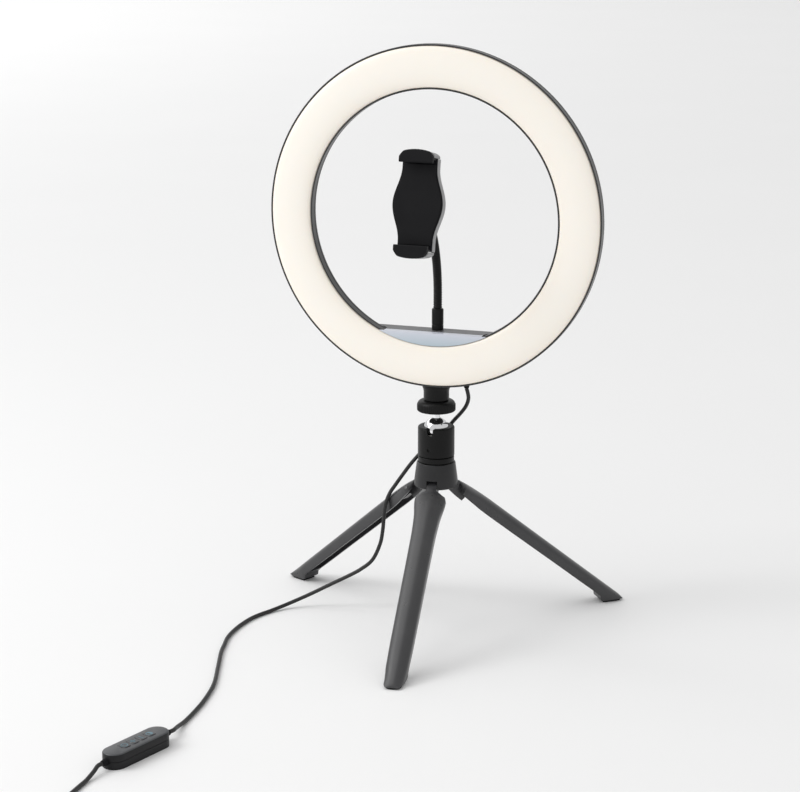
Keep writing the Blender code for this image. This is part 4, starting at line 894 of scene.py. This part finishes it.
def holder():
    nut = [(0.0073, -0.006), (0.0083, -0.006), (0.0086, -0.0058), (0.0089, -0.0054), (0.0089, 0.0026),
           (0.0083, 0.0032), (0.0053, 0.0032), (0.0043, 0.0019), (0.0047, 0.0012), (0.0073, 0.0012)]

    def grip(radius, height, k):
        return radius - 0.0004 * (k % 6 > 2) if radius > 0.0087 else radius

    holder_show("holder_ball_nut", turned("nut", nut, 144, "Y", grip), BLACK, "grip_nut", "holder_nut")
    outline = holder_outline(0.0, HOLDER_END)
    back = prism("back", outline, HOLDER_FACE + GAP, HOLDER_BACK, "XZ")
    hollow = holder_outline(0.0016, HOLDER_END - 0.0016)
    pocket = prism("pocket", hollow, -0.02, HOLDER_BACK - 0.0015, "XZ")
    cavity = JOINT_BALL_RADIUS + GAP
    cup = [(cavity * cos(radians(t)), cavity * sin(radians(t)))
           for t in range(9, -76, -7)]
    boss = turned("boss", [(0, -0.009), (0.0069, -0.009), (0.0069, 0.0008), *cup, (0, -cavity)], 64, "Y")
    cuts = [("-", pocket), ("+", boss)]
    for side in (-1, 1):
        low, high = sorted((side * 0.03, side * 0.036))
        cuts.append(("-", block("slot", (-0.0072, -0.0142, low), (0.0072, -0.0104, high))))
    holder_show("holder_shell", carved(back, *cuts), HOLDER, "grip", "holder_back", 0.0009, 3)
    face = prism("face", outline, PAD_FACE + PAD_THICKNESS + GAP, HOLDER_FACE, "XZ")
    holder_show("holder_front_plate", face, HOLDER_DARK, "grip", "holder_face", 0.0005)
    pad = prism("pad", holder_outline(0.0006, 0.0298), PAD_FACE, PAD_FACE + PAD_THICKNESS, "XZ")
    holder_show("holder_grip_pad", pad, RUBBER, "grip", "holder_pad", 0.0005, 3)
    jaw("holder_sliding_jaw", "jaw", "sliding_jaw", 0.003, Matrix.Identity(4))
    jaw("holder_fixed_jaw", "grip", "fixed_jaw", 0.0312, Matrix.Rotation(pi, 4, "Y"))
    spring()


def bowed(name, outline, half, corner):
    """Extrude a jaw's outline across; its outer edge falls towards both rounded ends."""
    rings = []
    for k in range(-20, 21):
        step = sin(pi / 2 * k / 20)
        drop = 0.0022 * step * step + corner * max(0.0, (abs(step) - 0.7) / 0.3) ** 2
        lift = [max(0.0, (z - JAW_LOW) / (JAW_HIGH - JAW_LOW)) for _, z in outline]
        rings.append([(half * step, y, z - drop * share) for (y, z), share in zip(outline, lift)])
    return loft(name, rings)


def jaw(name, body, node, tongue_end, turn):
    """A grey bar over the end of the shell, with its rubber lip."""
    outline = [(-0.0087, JAW_LOW), (-0.0087, JAW_HIGH - 0.0008), (-0.0095, JAW_HIGH),
               (-0.0235, JAW_HIGH), (-0.0235, JAW_LOW)]
    tongue = block("tongue", (-0.0068, -0.0139, tongue_end), (0.0068, -0.0107, 0.036))
    mesh = moved(carved(bowed("arm", outline, 0.0128, 0.0012), ("+", tongue)), turn)
    holder_show(name, mesh, HOLDER, body, node, 0.0005, 3)
    lip = [(-0.0189, 0.0327), (-0.0189, 0.0341), (-0.0238, 0.0341), (-0.0238, JAW_HIGH),
           (-0.0246, 0.0399), (-0.0268, 0.0399), (-0.0276, 0.0391), (-0.0276, 0.031),
           (-0.0268, 0.0301), (-0.0248, 0.0301), (-0.0238, 0.0327)]
    which = "upper" if node == "sliding_jaw" else "lower"
    holder_show(f"{which}_rubber_lip", moved(bowed("lip", lip, 0.013, 0.0032), turn), RUBBER, body,
                f"{which}_jaw_pad", 0.0003, 2)


def spring():
    """The tension spring behind the plate, which stretches between the shell and the jaw."""
    low, high, turns, radius, wire, per_turn = -0.029, 0.0024, 14, 0.0017, 0.0003, 14
    route = []
    for i in range(turns * per_turn + 1):
        t = 2 * pi * i / per_turn
        route.append(Vector((radius * cos(t), radius * sin(t) - 0.0123,
                             low + (high - low) * i / (turns * per_turn))))
    mesh = moved(tube("spring", route, wire, 8), HOLDER_PLACE)
    piece = place_piece("jaw_pull_spring", mesh, STEEL)
    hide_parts("jaw_spring")
    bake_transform(piece)


# ---- remote and plug
def signs():
    """Plain raised signs for the keys: power, up, down and a half-filled circle."""
    def bar(x, y, w, h):
        return block("bar", (x - w, y - h, 0.0), (x + w, y + h, SIGN_HEIGHT))

    def circle(radius, width, start, end):
        outline = arc((0, 0), radius, start, end, 24)
        outline += reversed(arc((0, 0), radius - width, start, end, 24))
        return prism("circle", outline, 0.0, SIGN_HEIGHT)

    power = joined("power", [circle(0.0018, 0.0004, 120, 420), bar(0, 0.0014, 0.0002, 0.001)])
    up = joined("up", [bar(0, 0, 0.0017, 0.00022), bar(0, 0.001, 0.00022, 0.0007),
                       bar(0, -0.001, 0.00022, 0.0007)])
    down = joined("down", [bar(0, 0, 0.0017, 0.00022)])
    half = joined("half", [circle(0.0018, 0.0004, 0, 179), circle(0.0018, 0.0016, 182, 358)])
    return power, up, down, half


def remote():
    base = shift(REMOTE_CENTRE) @ turn_z(REMOTE_TURN)
    outer = stadium(REMOTE_LENGTH, REMOTE_WIDTH)
    inner = stadium(REMOTE_LENGTH - 2 * REMOTE_WALL, REMOTE_WIDTH - 2 * REMOTE_WALL)
    sockets = []
    for turn in (0.0, pi):
        bore = turned("bore", [(0, 0.0265), (0.0017, 0.0265), (0.0017, 0.031), (0, 0.031)], 24, "X")
        sockets.append(("-", moved(bore, shift(0, 0, LEAD_HEIGHT) @ turn_z(turn))))
    tray = prism("tray", inner, REMOTE_WALL, REMOTE_HEIGHT)
    bottom = carved(prism("bottom", outer, 0.0, REMOTE_SPLIT), ("-", tray), *sockets)
    show("remote_lower_case", moved(bottom, base), REMOTE_SIDE, "base", "remote_bottom", 0.0006, 3)
    rings = []
    for inset, z in ((0.0, REMOTE_SPLIT + GAP), (0.0, 0.0096), (0.0002, 0.0102), (0.0007, 0.01065),
                     (0.0013, REMOTE_HEIGHT)):
        outline = stadium(REMOTE_LENGTH - 2 * inset, REMOTE_WIDTH - 2 * inset)
        rings.append([(x, y, z) for x, y in outline])
    cuts = [("-", prism("hollow", inner, REMOTE_SPLIT, REMOTE_HEIGHT - REMOTE_WALL))]
    places = [(k - 1.5) * BUTTON_PITCH + 0.001 for k in range(4)]
    for x in places:
        hole = prism("hole", rounded(0.0064, 0.0078, 0.0014), 0.0088, 0.012)
        cuts.append(("-", moved(hole, shift(x, 0, 0))))
    top = carved(loft("top", rings), *cuts, *sockets)
    for face in top.polygons:
        face.material_index = 1 if face.normal.z > 0.5 else 0
    show("remote_upper_case", moved(top, base), REMOTE_SIDE, "base", "remote_top", 0.0001, 2,
         [REMOTE_TOP])
    for x, name, sign in zip(places, ("power", "brighter", "dimmer", "colour"), signs()):
        key = [[(u, v, z) for u, v in rounded(0.0058 - 2 * inset, 0.0072 - 2 * inset, 0.0012)]
               for inset, z in ((0.0, 0.0078), (0.0, KEY_TOP - 0.0003), (0.0003, KEY_TOP))]
        mesh = moved(loft("key", key), base @ shift(x, 0, 0))
        body = f"{name}_button"
        show(f"{name}_key", mesh, KEY, body, f"button_{name}")
        grow = Matrix.Diagonal((SIGN_SCALE, SIGN_SCALE, 1, 1))
        mark = moved(sign, base @ shift(x, 0, KEY_TOP) @ turn_z(pi / 2) @ grow)
        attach(place_piece(f"{name}_sign", mark, PRINT), body)
    boot = [(0, 0.027), (0.0014, 0.027), (0.0014, REMOTE_LENGTH / 2 + GAP)]
    grooves = ((0.0026, 0.0), (0.0026, 0.0006), (0.0023, 0.0008), (0.0023, 0.0012), (0.00245, 0.0014),
               (0.0024, 0.002), (0.0021, 0.0022), (0.0021, 0.0026), (0.0022, 0.0028), (0.002, 0.0037))
    boot += [(r, REMOTE_LENGTH / 2 + GAP + x) for r, x in grooves] + [(0, 0.033)]
    for turn, side in ((0.0, "lamp_side"), (pi, "plug_side")):
        mesh = moved(turned("boot", boot, 32, "X"), base @ shift(0, 0, LEAD_HEIGHT) @ turn_z(turn))
        show(f"strain_relief_{side}", mesh, RUBBER, "base", f"boot_{side}")


def plug():
    base = shift(PLUG_PLACE + Vector((0, 0, PLUG_Z))) @ turn_z(PLUG_TURN)

    def slab(lengths, width, height, radius):
        outline = rounded(width, height, radius)
        return [[(x, y, z) for y, z in outline] for x in lengths]

    body = loft("body", slab((0.002, 0.0215), 0.0158, 0.008, 0.0018))
    tail = loft("tail", slab((-0.002, 0.003), 0.0052, 0.0052, 0.0018))
    tongue = block("tongue", (0.02, -0.0053, -0.0001), (0.0392, 0.0053, 0.0015))
    grooves = [("-", block("groove", (x, low, -0.006), (x + 0.0007, high, 0.006)))
               for low, high in ((-0.01, -0.0074), (0.0074, 0.01)) for x in (0.005, 0.0068, 0.0086)]
    mesh = carved(body, ("+", tail), ("+", tongue), *grooves)
    over = show("usb_plug_body", moved(mesh, base), RUBBER, "base", "usb_overmould", 0.0004)
    shell = loft("shell", slab((0.0215 + GAP, 0.04), 0.012, 0.0045, 0.0005))
    cuts = [("-", block("mouth", (0.02, -0.0056, -0.0018), (0.041, 0.0056, 0.0018)))]
    for y in (-0.0031, 0.0031):
        cuts.append(("-", block("window", (0.033, y - 0.001, 0.001), (0.0352, y + 0.001, 0.004))))
    shell = show("usb_plug_shell", moved(carved(shell, *cuts), base), STEEL, "base", "usb_shell",
                 0.00008, 1)
    return [over, shell]


def tie():
    """A strap round one side of the coil."""
    low, high, wall = COIL_INNER - GAP, COIL_OUTER + GAP, 0.0008
    outer = rounded(high - low + 2 * wall, COIL_HEIGHT + wall, 0.0012)
    hole = rounded(high - low, COIL_HEIGHT - GAP, 0.0005)
    middle, height = (low + high) / 2, (COIL_HEIGHT + wall) / 2 + GAP
    strap = moved(prism("strap", outer, -0.002, 0.002, "XZ"), shift(middle, 0, height))
    bore = moved(prism("bore", hole, -0.003, 0.003, "XZ"), shift(middle, 0, height - wall / 2))
    mesh = moved(carved(strap, ("-", bore)), shift(COIL_CENTRE))
    piece = show("coil_strap", mesh, RUBBER, "base", "coil_tie", 0.0002)
    return piece


def leads(with_wound):
    """The lamp lead in three stretches over the head's joints, then the wound lead to the plug."""
    first, first_path = cord_piece("lead_from_lamp", LEAD_AT_LAMP, 0.001)
    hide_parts("lead_at_lamp")
    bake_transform(first)
    second, second_path = cord_piece("lead_behind_head", LEAD_AT_HEAD, 0.001)
    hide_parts("lead_at_head")
    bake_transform(second)
    third, third_path = cord_piece("lead_to_remote_run", LEAD_TO_REMOTE)
    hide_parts("lead_to_remote")
    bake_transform(third)
    last, last_path = cord_piece("lead_wound_to_plug", coil_route(), 0.0015)
    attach(last, "base")
    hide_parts("lead_to_coil", "lead_coil", "lead_to_plug")


# ---- floor and light
def floor():
    mesh = bpy.data.meshes.new("floor")
    mesh.from_pydata([(-30, -12, 0), (30, -12, 0), (30, 40, 0), (-30, 40, 0)], [], [(0, 1, 2, 3)])
    made, tree, shader = new_material("pale floor")
    cloud = texture(tree, 3, 2)
    base = mix(tree, cloud, (0.855, 0.855, 0.855), (0.87, 0.87, 0.87))
    tree.links.new(base, shader.inputs["Base Color"])
    shader.inputs["Roughness"].default_value = 0.6
    shader.inputs["Specular IOR Level"].default_value = 0.2
    mesh.materials.append(made)
    linked("floor", mesh)


def area(name, place, target, size, power):
    data = bpy.data.lights.new(name, "AREA")
    data.shape = "RECTANGLE"
    data.size, data.size_y = size
    data.energy = power
    made = linked(name, data)
    made.location = place
    made.rotation_euler = (Vector(target) - Vector(place)).to_track_quat("-Z", "Y").to_euler()


def lights():
    world = bpy.data.worlds.new("studio")
    world.use_nodes = True
    back = world.node_tree.nodes["Background"]
    back.inputs["Color"].default_value = (1.0, 1.0, 1.0, 1.0)
    back.inputs["Strength"].default_value = WORLD_LIGHT
    bpy.context.scene.world = world
    sun = bpy.data.lights.new("sky panel", "SUN")
    sun.energy = SUN_LIGHT
    sun.angle = SUN_SPREAD
    sky = linked("sky panel", sun)
    sky.rotation_euler = Vector((0.55, 0.15, -1.0)).to_track_quat("-Z", "Y").to_euler()
    area("key", (-1.4, -0.8, 1.2), (0, 0, 0.15), (0.6, 1.0), KEY_LIGHT)
    area("left sweep", (-3.9, 2.6, 2.4), (-3.9, 2.6, 0.0), (3.0, 9.0), SWEEP_LIGHT)
    bpy.context.scene.view_settings.view_transform = "Standard"


# ---- the object
camera()
remote()
leads([*plug(), tie()])
crown()
legs()
ball_head()
neck()
front_frame()
back_cover()
diffuser()
shelf()
gooseneck()
holder()
for kept, finish in (
    ("centre_screw", STEEL), ("hinge_pin_front", STEEL), ("hinge_pin_right", STEEL),
    ("hinge_pin_left", STEEL), ("gooseneck_nut", STEEL), ("neck_insert", BRASS), ("ball_seat", NYLON),
    ("led_board", BOARD), ("remote_board", BOARD),
):
    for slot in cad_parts[kept].material_slots:
        slot.material = finish
floor()
lights()
